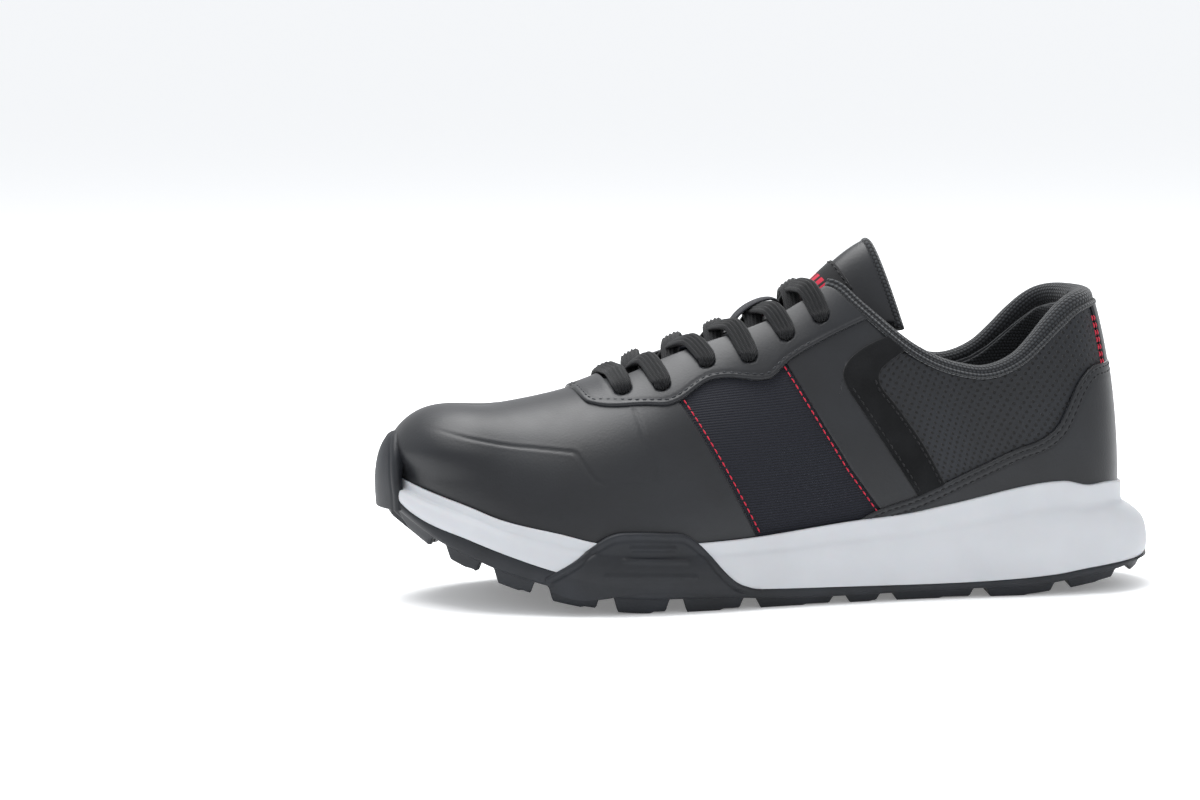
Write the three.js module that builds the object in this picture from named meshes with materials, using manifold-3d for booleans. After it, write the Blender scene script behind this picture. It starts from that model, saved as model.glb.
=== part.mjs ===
// Athletic golf shoe for a left foot, in millimetres.
// Frame: +X towards the heel, -X towards the toe, -Y lateral (outer) side, +Y medial side,
// +Z up. The origin lies on the ground, under the middle of the shoe's box.
//
// The upper is a stack of thin layers on one last-shaped surface. A layer is given by its
// depths from that surface, and a panel is a layer trimmed by an outline drawn in side view.
import * as THREE from 'three';
import { mergeVertices } from 'three/addons/utils/BufferGeometryUtils.js';
import Module from 'manifold-3d';

const wasm = await Module();
wasm.setup();

// ---- driving dimensions -----------------------------------------------------------------
const GAP = 0.3;               // clearance between neighbouring pieces
const RING_STEPS = 48;         // points round the plan outline
const RIB_STEPS = [0, 0.1, 0.21, 0.34, 0.48, 0.64, 0.8, 0.95];   // heights on a rib
const FAR = 400;               // larger than the shoe, for cutting prisms

// Plan of the upper's foot (the feather line) and of the sole's widest outline, both from the
// heel, along the lateral side to the toe, and back along the medial side: [x, y].
const FEATHER = [[141, -1], [136.5, -20], [124, -31.5], [98, -36.5], [65, -37.5], [30, -40],
  [-5, -45], [-40, -51], [-75, -52], [-106, -43.5], [-131, -26], [-144.5, -3], [-143, 17],
  [-128, 34], [-104, 44.5], [-72, 48], [-38, 44], [-4, 35], [30, 28.5], [65, 28.5],
  [98, 32.5], [124, 30], [137, 18]];
const SOLE = [[155, -1], [149, -23], [131, -37.5], [100, -42.5], [65, -42.5], [30, -45],
  [-5, -50], [-40, -56], [-75, -57], [-108, -48], [-136, -30], [-152, -3], [-150, 20],
  [-132, 39], [-105, 50], [-72, 53], [-38, 48], [-4, 38], [30, 32], [65, 32],
  [100, 37], [129, 34.5], [148, 20]];

// Heights along the shoe: [x, z].
const FEATHER_Z = [[-153, 48.8], [-145, 45], [-127, 36.5], [-110, 30], [-90, 26], [-60, 23], [-20, 24],
  [22, 27.5], [66, 33], [110, 37], [143, 35]];
const SPINE_Z = [[-117, 74], [-100, 76.3], [-76, 81.5], [-60, 87.5], [-45, 95], [-31, 101],
  [-13, 108], [0, 114], [13, 122.5], [26, 132], [40, 142], [60, 153], [80, 159], [94, 160]];
const RIM_Z = [[-150, 50], [-141, 45.8], [-125, 39.9], [-114, 35.5], [-92, 30.4], [-78, 27],
  [-26, 26.5], [24, 31.4], [47, 33.5], [63, 36.3], [111, 44], [121, 42], [131, 42.5],
  [143, 41]];
const MIDSOLE_BOTTOM_Z = [[-152, 45], [-145, 37], [-125, 27.8], [-109, 21.6], [-95, 17],
  [-75, 12], [-40, 9.5], [-15, 7.8], [10, 7], [65, 6.3], [86, 6.9], [108, 8.4], [120, 10],
  [154, 12.5]];
const GROUND_Z = [[-152, 38], [-148, 33], [-142, 27.5], [-135.6, 22.4], [-125.6, 16.8],
  [-116, 12.2], [-104.7, 8.1], [-93.6, 4.9], [-80, 2.2], [-66, 0.5], [-56, 0], [-50, 0],
  [90, 0], [96, 0], [105, 0.9], [113, 2.1], [132, 5], [155, 8.8]];
const LUG_DEPTH = [[-152, 3.5], [-120, 5], [-30, 5], [-5, 3.4], [100, 3.8], [155, 3.2]];
const CENTRE_Y = 1.5;          // the spine and the throat lie a little to the medial side
const BOARD_TOP = 2.1;         // top of the board and its gap, above the feather line

// Depths of the upper's layers from the outer surface, outside first.
const OVERLAY = [1.6, GAP];
const PANEL = [0, -1.5];
const STIFFENER = [-1.8, -3.0];
const LINING = [-3.3, -4.3];
const COLLAR_PAD_BULGE = 6;    // extra depth of the padded collar

// ---- curves -------------------------------------------------------------------------------
// A smooth height profile through [x, value] points, flat beyond its ends.
function profile(points) {
  const slope = points.slice(1).map((p, i) => (p[1] - points[i][1]) / (p[0] - points[i][0]));
  const tangent = points.map((_, i) => {
    const before = slope[Math.max(i - 1, 0)];
    const after = slope[Math.min(i, slope.length - 1)];
    return (before + after) / 2;
  });
  return (x) => {
    if (x <= points[0][0]) return points[0][1];
    if (x >= points.at(-1)[0]) return points.at(-1)[1];
    const i = points.findIndex((p) => p[0] > x) - 1;
    const width = points[i + 1][0] - points[i][0];
    const t = (x - points[i][0]) / width;
    return (2 * t ** 3 - 3 * t * t + 1) * points[i][1]
      + (t ** 3 - 2 * t * t + t) * width * tangent[i]
      + (3 * t * t - 2 * t ** 3) * points[i + 1][1]
      + (t ** 3 - t * t) * width * tangent[i + 1];
  };
}

function closedCurve(points) {
  return new THREE.CatmullRomCurve3(points.map(([x, y]) => new THREE.Vector3(x, y, 0)), true,
    'catmullrom', 0.5);
}

// A smooth line through side-view points, as a list of points about `step` apart.
function smooth(points, step = 7) {
  const curve = new THREE.CatmullRomCurve3(points.map(([x, z]) => new THREE.Vector3(x, z, 0)));
  const count = Math.max(2, Math.round(curve.getLength() / step));
  return curve.getSpacedPoints(count).map((p) => [p.x, p.y]);
}

const step = THREE.MathUtils.smoothstep;
const lerp = THREE.MathUtils.lerp;
const featherCurve = closedCurve(FEATHER);
const soleCurve = closedCurve(SOLE);
const featherZ = profile(FEATHER_Z);
const spineZ = profile(SPINE_Z);
const rimZ = profile(RIM_Z);
const midsoleBottomZ = profile(MIDSOLE_BOTTOM_Z);
const groundProfile = profile(GROUND_Z);
const groundZ = (x) => Math.max(groundProfile(x), 0);
const lugDepth = profile(LUG_DEPTH);

// The point of a plan curve at s, moved outwards by `out`.
function planPoint(curve, s, out = 0) {
  const p = curve.getPoint(s);
  const t = curve.getTangent(s);
  return new THREE.Vector3(p.x - t.y * out, p.y + t.x * out, 0);
}

// ---- the last: the surface that the whole upper is laid on ----------------------------------
// Ribs rise from the feather line, at s, and lean in to a spine on the shoe's centre plane.
function lastPoint(s, t) {
  const foot = planPoint(featherCurve, s);
  const outward = planPoint(featherCurve, s, 1).sub(foot);
  let spineX = foot.x;
  if (foot.x < -105) spineX = -105 + (foot.x + 105) * 0.28;
  if (foot.x > 84) spineX = 84 + (foot.x - 84) * 0.16;
  const boxiness = 2 + 0.6 * (1 - step(foot.x, -140, -90)) + 0.1 * step(foot.x, 60, 140);
  const angle = t * Math.PI / 2;
  const inward = 1 - Math.cos(angle) ** (2 / boxiness);
  const upward = Math.sin(angle) ** (2 / boxiness);
  const archBulge = foot.y > 0 ? 8 * Math.exp(-(((foot.x - 40) / 45) ** 2))
    : 1.5 * Math.exp(-(((foot.x + 10) / 60) ** 2));
  const toeBulge = 2 * (1 - step(foot.x, -135, -100));
  const bulge = (archBulge + toeBulge) * 4 * upward * (1 - upward);
  const z = featherZ(foot.x);
  return new THREE.Vector3(
    lerp(foot.x, spineX, inward) + outward.x * bulge,
    lerp(foot.y, CENTRE_Y, inward) + outward.y * bulge,
    lerp(z, spineZ(spineX), upward));
}

function lastNormal(s, t) {
  const along = lastPoint(s + 1e-3, t).sub(lastPoint(s - 1e-3, t));
  const low = Math.max(t - 0.01, 0);
  const up = lastPoint(s, Math.min(t + 0.01, 0.99)).sub(lastPoint(s, low));
  return up.cross(along).normalize();
}

const ringS = Array.from({ length: RING_STEPS }, (_, i) => (i + 0.5) / RING_STEPS);
const lastGrid = RIB_STEPS.map((t) => ringS.map((s) => ({
  point: lastPoint(s, t),
  normal: lastNormal(s, t),
})));

// ---- solids ---------------------------------------------------------------------------------
function solid(geometry) {
  let g = geometry.clone();
  g.deleteAttribute('normal');
  g.deleteAttribute('uv');
  g = mergeVertices(g, 1e-5);
  return new wasm.Manifold(new wasm.Mesh({
    numProp: 3,
    vertProperties: new Float32Array(g.attributes.position.array),
    triVerts: new Uint32Array(g.index.array),
  }));
}

// A closed solid through equal rings of points, each end closed by a strip across the ring.
function loft(rings) {
  const size = rings[0].length;
  const at = (j, i) => j * size + (i % size);
  const index = [];
  const quad = (a, b, c, d) => index.push(a, b, c, a, c, d);
  for (let j = 0; j + 1 < rings.length; j++) {
    for (let i = 0; i < size; i++) quad(at(j, i), at(j, i + 1), at(j + 1, i + 1), at(j + 1, i));
  }
  const last = rings.length - 1;
  for (let i = 0; i < size / 2 - 1; i++) {
    quad(at(0, i), at(0, size - 1 - i), at(0, size - 2 - i), at(0, i + 1));
    quad(at(last, i), at(last, i + 1), at(last, size - 2 - i), at(last, size - 1 - i));
  }
  let volume = 0;
  const points = rings.flat();
  for (let k = 0; k < index.length; k += 3) {
    const [a, b, c] = [0, 1, 2].map((n) => points[index[k + n]]);
    volume += a.dot(b.clone().cross(c));
  }
  if (volume < 0) index.reverse();
  const g = new THREE.BufferGeometry().setFromPoints(points);
  g.setIndex(index);
  return solid(g);
}

// The solid under the last surface moved outwards by `offset` (a number, or a function of the
// surface point). `drop` carries it below the feather line, so that cutting it out of a larger
// one leaves a shell that is open underneath.
function dome(offset, drop = 0) {
  const rows = lastGrid.map((row) => row.map(({ point, normal }) => {
    const depth = typeof offset === 'function' ? offset(point) : offset;
    return point.clone().addScaledVector(normal, depth);
  }));
  if (drop > 0) rows.unshift(rows[0].map((p) => p.clone().setZ(p.z - drop)));
  return loft(rows);
}

function shell([outer, inner]) {
  return dome(outer).subtract(dome(inner, 6));
}

// A plan ring: the sole or feather curve moved outwards, at a height or one given by x.
function ring(curve, out, height) {
  return ringS.map((s) => {
    const p = planPoint(curve, s, out);
    return p.setZ(typeof height === 'function' ? height(p.x) : height);
  });
}

// Prisms that cut panels to shape, from outlines in side view [x, z] and in plan [x, y].
function sidePrism(points, yFrom = -FAR, yTo = FAR) {
  const shape = new THREE.Shape(points.map(([x, z]) => new THREE.Vector2(x, z)));
  const g = new THREE.ExtrudeGeometry(shape, { depth: yTo - yFrom, bevelEnabled: false });
  return solid(g.rotateX(Math.PI / 2).translate(0, yTo, 0));
}

function planPrism(points, zFrom = -FAR, zTo = FAR) {
  const shape = new THREE.Shape(points.map(([x, y]) => new THREE.Vector2(x, y)));
  const g = new THREE.ExtrudeGeometry(shape, { depth: zTo - zFrom, bevelEnabled: false });
  return solid(g.translate(0, 0, zFrom));
}

// The same from an outline in front view [y, z].
function frontPrism(points, xFrom = -FAR, xTo = FAR) {
  const shape = new THREE.Shape(points.map(([y, z]) => new THREE.Vector2(y, z)));
  const g = new THREE.ExtrudeGeometry(shape, { depth: xTo - xFrom, bevelEnabled: false });
  return solid(g.rotateX(Math.PI / 2).rotateZ(Math.PI / 2).translate(xFrom, 0, 0));
}

function moved(points, dx, dz = 0) {
  return points.map(([x, z]) => [x + dx, z + dz]);
}

// The place on one side of the last (-1 lateral, +1 medial) where x and z, or x and y, have
// the given values, found by Newton's method.
function lastAt(x, value, side, axis = 'z') {
  const { clamp } = THREE.MathUtils;
  let s = side < 0 ? 0.25 : 0.75;
  let t = axis === 'z' ? 0.3 : 0.7;
  for (let k = 0; k < 40; k++) {
    const p = lastPoint(s, t);
    const ps = lastPoint(s + 1e-4, t).sub(p).divideScalar(1e-4);
    const pt = lastPoint(s, t + 1e-4).sub(p).divideScalar(1e-4);
    const det = ps.x * pt[axis] - ps[axis] * pt.x;
    const ds = ((x - p.x) * pt[axis] - (value - p[axis]) * pt.x) / det;
    const dt = (ps.x * (value - p[axis]) - ps[axis] * (x - p.x)) / det;
    s += clamp(ds, -0.05, 0.05);
    t = clamp(t + clamp(dt, -0.1, 0.1), 0.005, 0.985);
  }
  return { point: lastPoint(s, t), normal: lastNormal(s, t) };
}

// ---- outlines in side view --------------------------------------------------------------------
// Collar edge, from the throat corner, down round the ankle and up to the heel.
const COLLAR_EDGE = smooth([[12, 121], [18, 120.5], [23.4, 119], [28, 114], [34.9, 107.3],
  [42.5, 100.4], [50.2, 94.5], [60.3, 89.2], [70.5, 86.2], [78.8, 85.2], [87, 86.8],
  [95.5, 91], [103.3, 97.3], [110.2, 103.2], [118.7, 109.3], [126, 111.5], [140, 111.5]], 8);
const EYESTAY_LOW = [[-78.2, 95], [-77.8, 80], [-76.5, 77.4], [-74.5, 76.6], [-54.5, 76.8],
  [-47, 77], [-42.5, 78.6], [-30.7, 85.5], [-23.9, 86.7], [-9.6, 85.8], [-5.5, 86.8],
  [1, 92.2], [15.6, 100.2], [34.2, 108.7]];
const BAND_FRONT = [[-46, 85], [-41.7, 77.4], [-15.1, 27.6], [-10, 18]];
const BAND_REAR = [[-4, 99], [0.8, 90.8], [6.2, 80.6], [13.8, 67.3], [23.1, 52.1],
  [34.2, 37], [42, 27], [48, 18]];
const QUARTER_REAR = [[56, 112], [41, 98], [31, 92], [29.5, 84], [35, 72], [46, 56],
  [57, 40], [62, 18]];
const HEEL_OVERLAY_TOP = smooth([[24.8, 30.4], [31.2, 34.1], [51.1, 40.4], [73.1, 49.6],
  [90.7, 57.1], [103.6, 61.7], [109.1, 66.4], [112.4, 72.2], [117.1, 81], [123.4, 87.5],
  [132, 89.3], [150, 89.3]], 9);
const STRAP_FRONT = smooth([[41, 101.8], [30.2, 97.5], [23, 92], [22.4, 84.4], [28.7, 73.7],
  [38.8, 58.4], [50.3, 41]], 8);
const STRAP_REAR = smooth([[61.8, 45], [53.2, 60.3], [42.5, 75.5], [36.4, 84], [36.2, 88.5],
  [47.5, 96.4]], 8);
const PADDING_LOW = [[18, 104], [40, 80], [70, 65], [100, 67], [125, 75], [150, 79]];
const EYELETS = [[-61.7, 80.9], [-47.7, 83.2], [-29.7, 91.4], [-13.6, 93.5], [2.2, 101.6],
  [16.1, 108.4]];
const EYELET_RADIUS = 2.3;

const underCollar = sidePrism([[-FAR, -FAR], [FAR, -FAR], [FAR, 111.5],
  ...COLLAR_EDGE.toReversed(), [4, 135], [-FAR, 135]]);
const THROAT_EDGE = profile([[-68, 8], [-62, 12.5], [-52, 14.5], [-30, 16], [40, 16.5]]);
const throatSide = [-66, -62, -56, -50, -30, 14, 40];
const throat = planPrism([...throatSide.map((x) => [x, CENTRE_Y - THROAT_EDGE(x)]),
  ...throatSide.toReversed().map((x) => [x, CENTRE_Y + THROAT_EDGE(x)]),
  [-68.5, CENTRE_Y + 4], [-68.5, CENTRE_Y - 4]]);
const lateralHalf = sidePrism([[-FAR, -FAR], [FAR, -FAR], [FAR, FAR], [-FAR, FAR]], -FAR,
  -GAP / 2);
const medialHalf = sidePrism([[-FAR, -FAR], [FAR, -FAR], [FAR, FAR], [-FAR, FAR]], GAP / 2,
  FAR);
const halves = { lateral: lateralHalf, medial: medialHalf };
const eyeletHoles = EYELETS.flatMap(([x, z]) => [-1, 1].map((side) => {
  const { point, normal } = lastAt(x, z, side);
  const g = new THREE.CylinderGeometry(EYELET_RADIUS, EYELET_RADIUS, 16, 6);
  g.applyQuaternion(new THREE.Quaternion().setFromUnitVectors(new THREE.Vector3(0, 1, 0),
    normal));
  return solid(g.translate(point.x, point.y, point.z));
})).reduce((all, hole) => all.add(hole));

// ---- the exported group -----------------------------------------------------------------------
const shoe = new THREE.Group();

// The colour, roughness and metalness of each finish.
const finish = (color, roughness, metalness = 0) => new THREE.MeshStandardMaterial({
  color, roughness, metalness });
const LEATHER = finish(0x24262a, 0.42);
const PERFORATED = finish(0x202228, 0.55);
const SUEDE = finish(0x111214, 0.95);
const TEXTILE = finish(0x12141b, 0.9);
const KNIT = finish(0x1d1f23, 0.9);
const FOAM = finish(0x3a3b3d, 0.95);
const BOARD = finish(0xb9b4a8, 0.9);
const STIFF = finish(0x8d8a82, 0.8);
const RUBBER = finish(0x23272f, 0.6);
const EVA = finish(0xcdd1d6, 0.65);
const LACE = finish(0x17181b, 0.85);
const PLASTIC = finish(0x0f1012, 0.4);
const RED = finish(0xb3203a, 0.7);

function add(name, manifold, material) {
  const mesh = manifold.getMesh();
  const g = new THREE.BufferGeometry();
  g.setAttribute('position', new THREE.BufferAttribute(mesh.vertProperties, 3));
  g.setIndex(new THREE.BufferAttribute(mesh.triVerts, 1));
  g.computeVertexNormals();
  const node = new THREE.Mesh(g, material);
  node.name = name;
  shoe.add(node);
}

// ---- sole ---------------------------------------------------------------------------------------
// Midsole side wall, from the rim down: [height fraction, how far out towards the sole outline].
const WALL = [[0, 0], [0.26, 0.08], [0.36, 0.45], [0.52, 0.85], [0.76, 1], [1, 0.88]];
const RIM_OUT = 2.6;

const wallRings = WALL.toReversed().map(([down, out]) => ringS.map((s) => {
  const p = planPoint(featherCurve, s, RIM_OUT).lerp(planPoint(soleCurve, s), out);
  return p.setZ(lerp(rimZ(p.x), midsoleBottomZ(p.x), down));
}));

// Side wings of the outsole that climb the midsole at the ball of the foot, and the toe bumper,
// with their outlines in side view, in plan and [y, z] in front view.
const WING = [[-96, 10], [-91, 18.2], [-73.5, 30.4], [-70, 31.2], [-46, 30], [-41, 27.6],
  [-25.5, 11.2], [-19, 5]];
const BUMPER = [[-170, -13], [-150, -12], [-142, -7], [-142, 17], [-148, 22], [-170, 24]];
const BUMPER_TOP = [[-170, 15], [-138, 15], [-138, 66], [-147.5, 66], [-150.6, 62.5],
  [-152.2, 56], [-153, 40], [-170, 36]];
const BUMPER_FRONT = [[-16, 15], [-13, 40], [-10, 55], [-6, 62], [0, 65.6], [5, 66.4],
  [11, 65.6], [17, 62], [21, 55], [24, 40], [27, 15]];
const WING_THICK = 2.2;
const wingPrism = sidePrism(WING);
const wingInner = loft([ring(soleCurve, -WING_THICK, 0), ring(soleCurve, -WING_THICK, 20),
  ring(soleCurve, -WING_THICK - 2.4, 33)]);
const wingOuter = loft([ring(soleCurve, 0.6, 4), ring(soleCurve, 0.6, 19),
  ring(soleCurve, -1.6, 32)]);
const wings = wingOuter.intersect(wingPrism).subtract(wingInner).subtract(dome(0.4, 30));
const bumperShape = planPrism(BUMPER, 20, 70).intersect(sidePrism(BUMPER_TOP))
  .intersect(frontPrism(BUMPER_FRONT));
const bumper = loft([ring(soleCurve, -0.4, 30), ring(soleCurve, -0.2, 48),
  ring(soleCurve, -3.2, 68)]).intersect(bumperShape)
  .subtract(loft([ring(soleCurve, -2.8, 20), ring(soleCurve, -2.8, 51.5)]))
  .subtract(dome(0.4, 30));

const baseSheet = loft([
  ring(soleCurve, -1.2, (x) => groundZ(x) + lugDepth(x)),
  ring(soleCurve, -0.5, (x) => midsoleBottomZ(x) - GAP)]);
const lugLayer = loft([
  ring(soleCurve, -2.4, groundZ),
  ring(soleCurve, -1.2, (x) => groundZ(x) + lugDepth(x) + 0.4)]);

// S-shaped channels across the tread, [x at the centre], and two along it.
function channel(x, lean, width) {
  const line = smooth([[x - lean - 6, -75], [x - lean, -40], [x - lean * 0.3, -14],
    [x + lean * 0.3, 14], [x + lean, 40], [x + lean + 6, 75]], 30);
  return planPrism([...moved(line, -width / 2), ...moved(line, width / 2).toReversed()],
    -5, 60);
}
const FORE_CHANNELS = [-129, -110, -89, -64, -37];
const HEEL_CHANNELS = [-11, 25, 44, 82, 115, 141];
const channels = [
  ...FORE_CHANNELS.map((x) => channel(x, 9, 6)),
  ...HEEL_CHANNELS.map((x) => channel(x, 6, 5.5)),
];
function lengthwiseChannel(points, width) {
  const line = smooth(points, 25);
  return planPrism([...moved(line, 0, -width / 2), ...moved(line, 0, width / 2).toReversed()],
    -5, 60);
}
channels.push(lengthwiseChannel([[-146, -6], [-110, -22], [-70, -27], [-30, -24], [0, -18],
  [50, -16], [100, -17], [150, -8]], 4.5));
channels.push(lengthwiseChannel([[-146, 14], [-110, 22], [-70, 25], [-30, 21], [0, 14],
  [50, 11], [100, 14], [150, 8]], 4.5));
const archWindow = planPrism(smooth([[-4, -12], [24, -15], [62, -13], [66, 0], [60, 9],
  [24, 9], [-2, 13], [-6, 0], [-4, -12]], 14), -5, 60);
const lugs = channels.reduce((body, cut) => body.subtract(cut), lugLayer)
  .subtract(archWindow);

add('outsole', baseSheet.add(lugs).add(wings).add(bumper), RUBBER);

const wingPocket = sidePrism([[-96.6, 10], [-91.6, 18.6], [-74, 31.2], [-70, 34], [-45, 34],
  [-40.4, 28], [-24.8, 11], [-18, 5]]).subtract(loft([
  ring(soleCurve, -WING_THICK - GAP, 0), ring(soleCurve, -WING_THICK - GAP, 20),
  ring(soleCurve, -WING_THICK - 2.4 - GAP, 33)]));
const bumperPocket = planPrism(BUMPER.map(([x, y]) => [x, y + Math.sign(y - 5) * 0.4]), 20, 70)
  .subtract(loft([ring(soleCurve, -3.1, 20), ring(soleCurve, -3.1, 60)]));
add('midsole', loft(wallRings).subtract(dome(GAP, GAP)).subtract(wingPocket)
  .subtract(bumperPocket), EVA);

add('strobel_board', loft([ring(featherCurve, -1.9, featherZ),
  ring(featherCurve, -1.9, (x) => featherZ(x) + BOARD_TOP - GAP)]), BOARD);

// Removable footbed: a foam sheet with a raised heel cup.
const FOOTBED_EDGE = [[-145, 4], [-60, 4.5], [20, 8], [80, 13], [143, 14]];
const FOOTBED_THICK = [[-145, 3.5], [-60, 4.5], [60, 6], [143, 6]];
const footbedEdge = profile(FOOTBED_EDGE);
const footbedThick = profile(FOOTBED_THICK);
const footbedFloor = (x) => featherZ(x) + BOARD_TOP;
add('footbed', loft([
  ring(featherCurve, -6.4, footbedFloor),
  ring(featherCurve, -5.6, (x) => footbedFloor(x) + footbedEdge(x) - 1),
  ring(featherCurve, -6.6, (x) => footbedFloor(x) + footbedEdge(x)),
  ring(featherCurve, -9.5, (x) => footbedFloor(x) + lerp(footbedThick(x), footbedEdge(x), 0.4)),
  ring(featherCurve, -14, (x) => footbedFloor(x) + footbedThick(x))]), KNIT);

// ---- upper --------------------------------------------------------------------------------------
const belowBoard = loft([ring(featherCurve, 8, (x) => featherZ(x) - 12),
  ring(featherCurve, 8, (x) => featherZ(x) + BOARD_TOP)]);
const panelShell = shell(PANEL).intersect(underCollar).subtract(throat)
  .subtract(eyeletHoles);
const overlayShell = shell(OVERLAY).intersect(underCollar).subtract(throat)
  .subtract(eyeletHoles);
const aboveRim = sidePrism([...RIM_Z.map(([x, z]) => [x, z + 1.4]), [FAR, 42.4], [FAR, FAR],
  [-FAR, FAR], [-FAR, 51.4]]);
const seamGap = 0.25;

const beforeBand = sidePrism([...moved(BAND_FRONT, -seamGap), [-10, -FAR], [-FAR, -FAR],
  [-FAR, FAR], [-46, FAR]]);
add('vamp', panelShell.intersect(beforeBand), LEATHER);

const bandOutline = sidePrism([...moved(BAND_FRONT, seamGap),
  ...moved(BAND_REAR, -seamGap).toReversed(), [-4, FAR], [-46, FAR]]);
const quarterOutline = sidePrism([...moved(BAND_REAR, seamGap),
  ...moved(QUARTER_REAR, -seamGap).toReversed(), [56, FAR], [-4, FAR]]);
const collarOutline = sidePrism([...moved(QUARTER_REAR, seamGap), [62, -FAR], [FAR, -FAR],
  [FAR, FAR], [56, FAR]]);
const strapOutline = sidePrism([...STRAP_FRONT, ...STRAP_REAR])
  .subtract(sidePrism([...moved(HEEL_OVERLAY_TOP, 0, GAP), [150, -FAR], [-50, -FAR],
    [-50, 30]]));
const eyestayOutline = sidePrism([...EYESTAY_LOW, [48, 100], [60, FAR], [-78.2, FAR]]);
const heelOutline = sidePrism([...HEEL_OVERLAY_TOP, [FAR, 89.3], [FAR, -FAR], [24.8, -FAR]]);

for (const [side, half] of Object.entries(halves)) {
  const piece = panelShell.intersect(half);
  add(`${side}_textile_band`, piece.intersect(bandOutline), TEXTILE);
  add(`${side}_quarter`, piece.intersect(quarterOutline), LEATHER);
  add(`${side}_collar_panel`, piece.intersect(collarOutline), PERFORATED);
  add(`${side}_suede_strap`, overlayShell.intersect(half).intersect(strapOutline)
    .subtract(eyestayOutline), SUEDE);
}

add('eyestay', overlayShell.intersect(eyestayOutline), LEATHER);
add('heel_overlay', overlayShell.intersect(heelOutline).intersect(aboveRim), LEATHER);
const BACK_STRIP_HALF_WIDTH = 15;
const backStripOutline = planPrism([[118, -BACK_STRIP_HALF_WIDTH + 3],
  [FAR, -BACK_STRIP_HALF_WIDTH], [FAR, BACK_STRIP_HALF_WIDTH],
  [118, BACK_STRIP_HALF_WIDTH - 3]]);
add('heel_back_strip', overlayShell.intersect(backStripOutline)
  .subtract(sidePrism([[-FAR, 89.3 + GAP], [FAR, 89.3 + GAP], [FAR, -FAR], [-FAR, -FAR]])),
LEATHER);

const stiffenerShell = shell(STIFFENER).subtract(belowBoard);
add('toe_puff', stiffenerShell.intersect(sidePrism([[-FAR, -FAR], [-104, -FAR], [-98, 60],
  [-104, FAR], [-FAR, FAR]])), STIFF);
add('heel_counter', stiffenerShell.intersect(sidePrism([[78, -FAR], [82, 56], [100, 63],
  [125, 71], [FAR, 75], [FAR, -FAR]])), STIFF);

// Padding swells inwards round the ankle, and the knit lining lies over it.
const paddingLow = profile(PADDING_LOW);
const swell = (p) => COLLAR_PAD_BULGE * step(p.z - paddingLow(p.x), 0, 14)
  * step(p.x, 26, 62);
const liningShell = dome((p) => LINING[0] - swell(p)).subtract(
  dome((p) => LINING[1] - swell(p), 6)).intersect(underCollar).subtract(throat)
  .subtract(eyeletHoles).subtract(belowBoard);
const LINING_SEAM = [[52, FAR], [52, -FAR]];
const frontOfSeam = sidePrism([[-FAR, -FAR], [-FAR, FAR], ...moved(LINING_SEAM, -seamGap)]);
const behindSeam = sidePrism([[FAR, -FAR], [FAR, FAR], ...moved(LINING_SEAM, seamGap)]);
add('upper_lining', liningShell.intersect(frontOfSeam), KNIT);
add('collar_lining', liningShell.intersect(behindSeam), KNIT);
const paddingOutline = sidePrism([[40, 80.5], [55, 72.5], [70, 66], [85, 65.5], [100, 67.5],
  [125, 75.5], [FAR, 80], [FAR, FAR], [40, FAR]]);
add('collar_padding', dome(STIFFENER[0]).subtract(dome((p) => LINING[0] + GAP - swell(p)))
  .intersect(underCollar).intersect(paddingOutline), FOAM);

// Rolled top edge of the collar, from one throat corner round the heel to the other.
const TOPLINE_SECTION = [[-0.2, 0.3], [0.9, 1.6], [0.4, 3.4], [-1.4, 4.8], [-3.4, 4.6],
  [-4.6, 2.6], [-4.3, 0.3], [-2.2, 0.3]];
const HEEL_TOP_Z = COLLAR_EDGE.at(-1)[1];
// The place at the back of the heel, y from the centre, at the height of the collar's top.
function heelTopAt(y) {
  let s = y / 330;
  let t = 0.45;
  for (let k = 0; k < 60; k++) {
    const p = lastPoint(1 - s, t);
    s += (y - p.y) / 400;
    t += (HEEL_TOP_Z - p.z) / 200;
  }
  return { point: lastPoint(1 - s, t), normal: lastNormal(1 - s, t) };
}
const collarPlaces = COLLAR_EDGE.filter(([x]) => x > 21 && x < 124);
const toplineStations = [
  ...collarPlaces.map(([x, z]) => lastAt(x, z, -1)),
  ...[-13, -4.5, 4.5, 13].map(heelTopAt),
  ...collarPlaces.toReversed().map(([x, z]) => lastAt(x, z, 1)),
];
const toplineRings = toplineStations.map(({ point, normal }, i, all) => {
  const before = all[Math.max(i - 1, 0)].point;
  const after = all[Math.min(i + 1, all.length - 1)].point;
  const along = after.clone().sub(before).normalize();
  const out = normal.clone().setZ(0).normalize();
  const up = along.clone().cross(out).normalize();
  if (up.z < 0) up.negate();
  const thick = 0.5 + 1.6 * step(point.x, 20, 62);
  return TOPLINE_SECTION.map(([n, u]) => point.clone()
    .addScaledVector(out, n < 0 ? n * thick : n).addScaledVector(up, u));
});
add('collar_topline', loft(toplineRings), KNIT);

// ---- tongue -------------------------------------------------------------------------------------
// Stations from the toe end to the top: ridge [x, z] of the face, half width, how far the
// edges drop, and how far (degrees) that drop leans back towards the heel.
const TONGUE = [[-76, 75.2, 13, 4, 8], [-67, 78, 15, 5.5, 13], [-58, 81.5, 16.5, 7.5, 17],
  [-45, 87.6, 17.5, 10.5, 20], [-31, 94, 18.5, 14, 21], [-13, 101, 18.5, 17, 21],
  [0, 106.8, 18.5, 19, 21], [8, 111.6, 18.5, 21, 21], [14.2, 117, 18.5, 23, 20]];
const FLAP = [[14.8, 117.6, 18.5, 23.5, 33], [20, 122.6, 19, 25.5, 32],
  [27, 128.8, 19.5, 28, 30], [33, 133.4, 21, 29.5, 27], [38, 136.4, 22.5, 30.5, 24]];
const FLAP_END = [[38.4, 136.8, 22.8, 31, 24], [40.6, 137.8, 22.8, 31.5, 23]];
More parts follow.
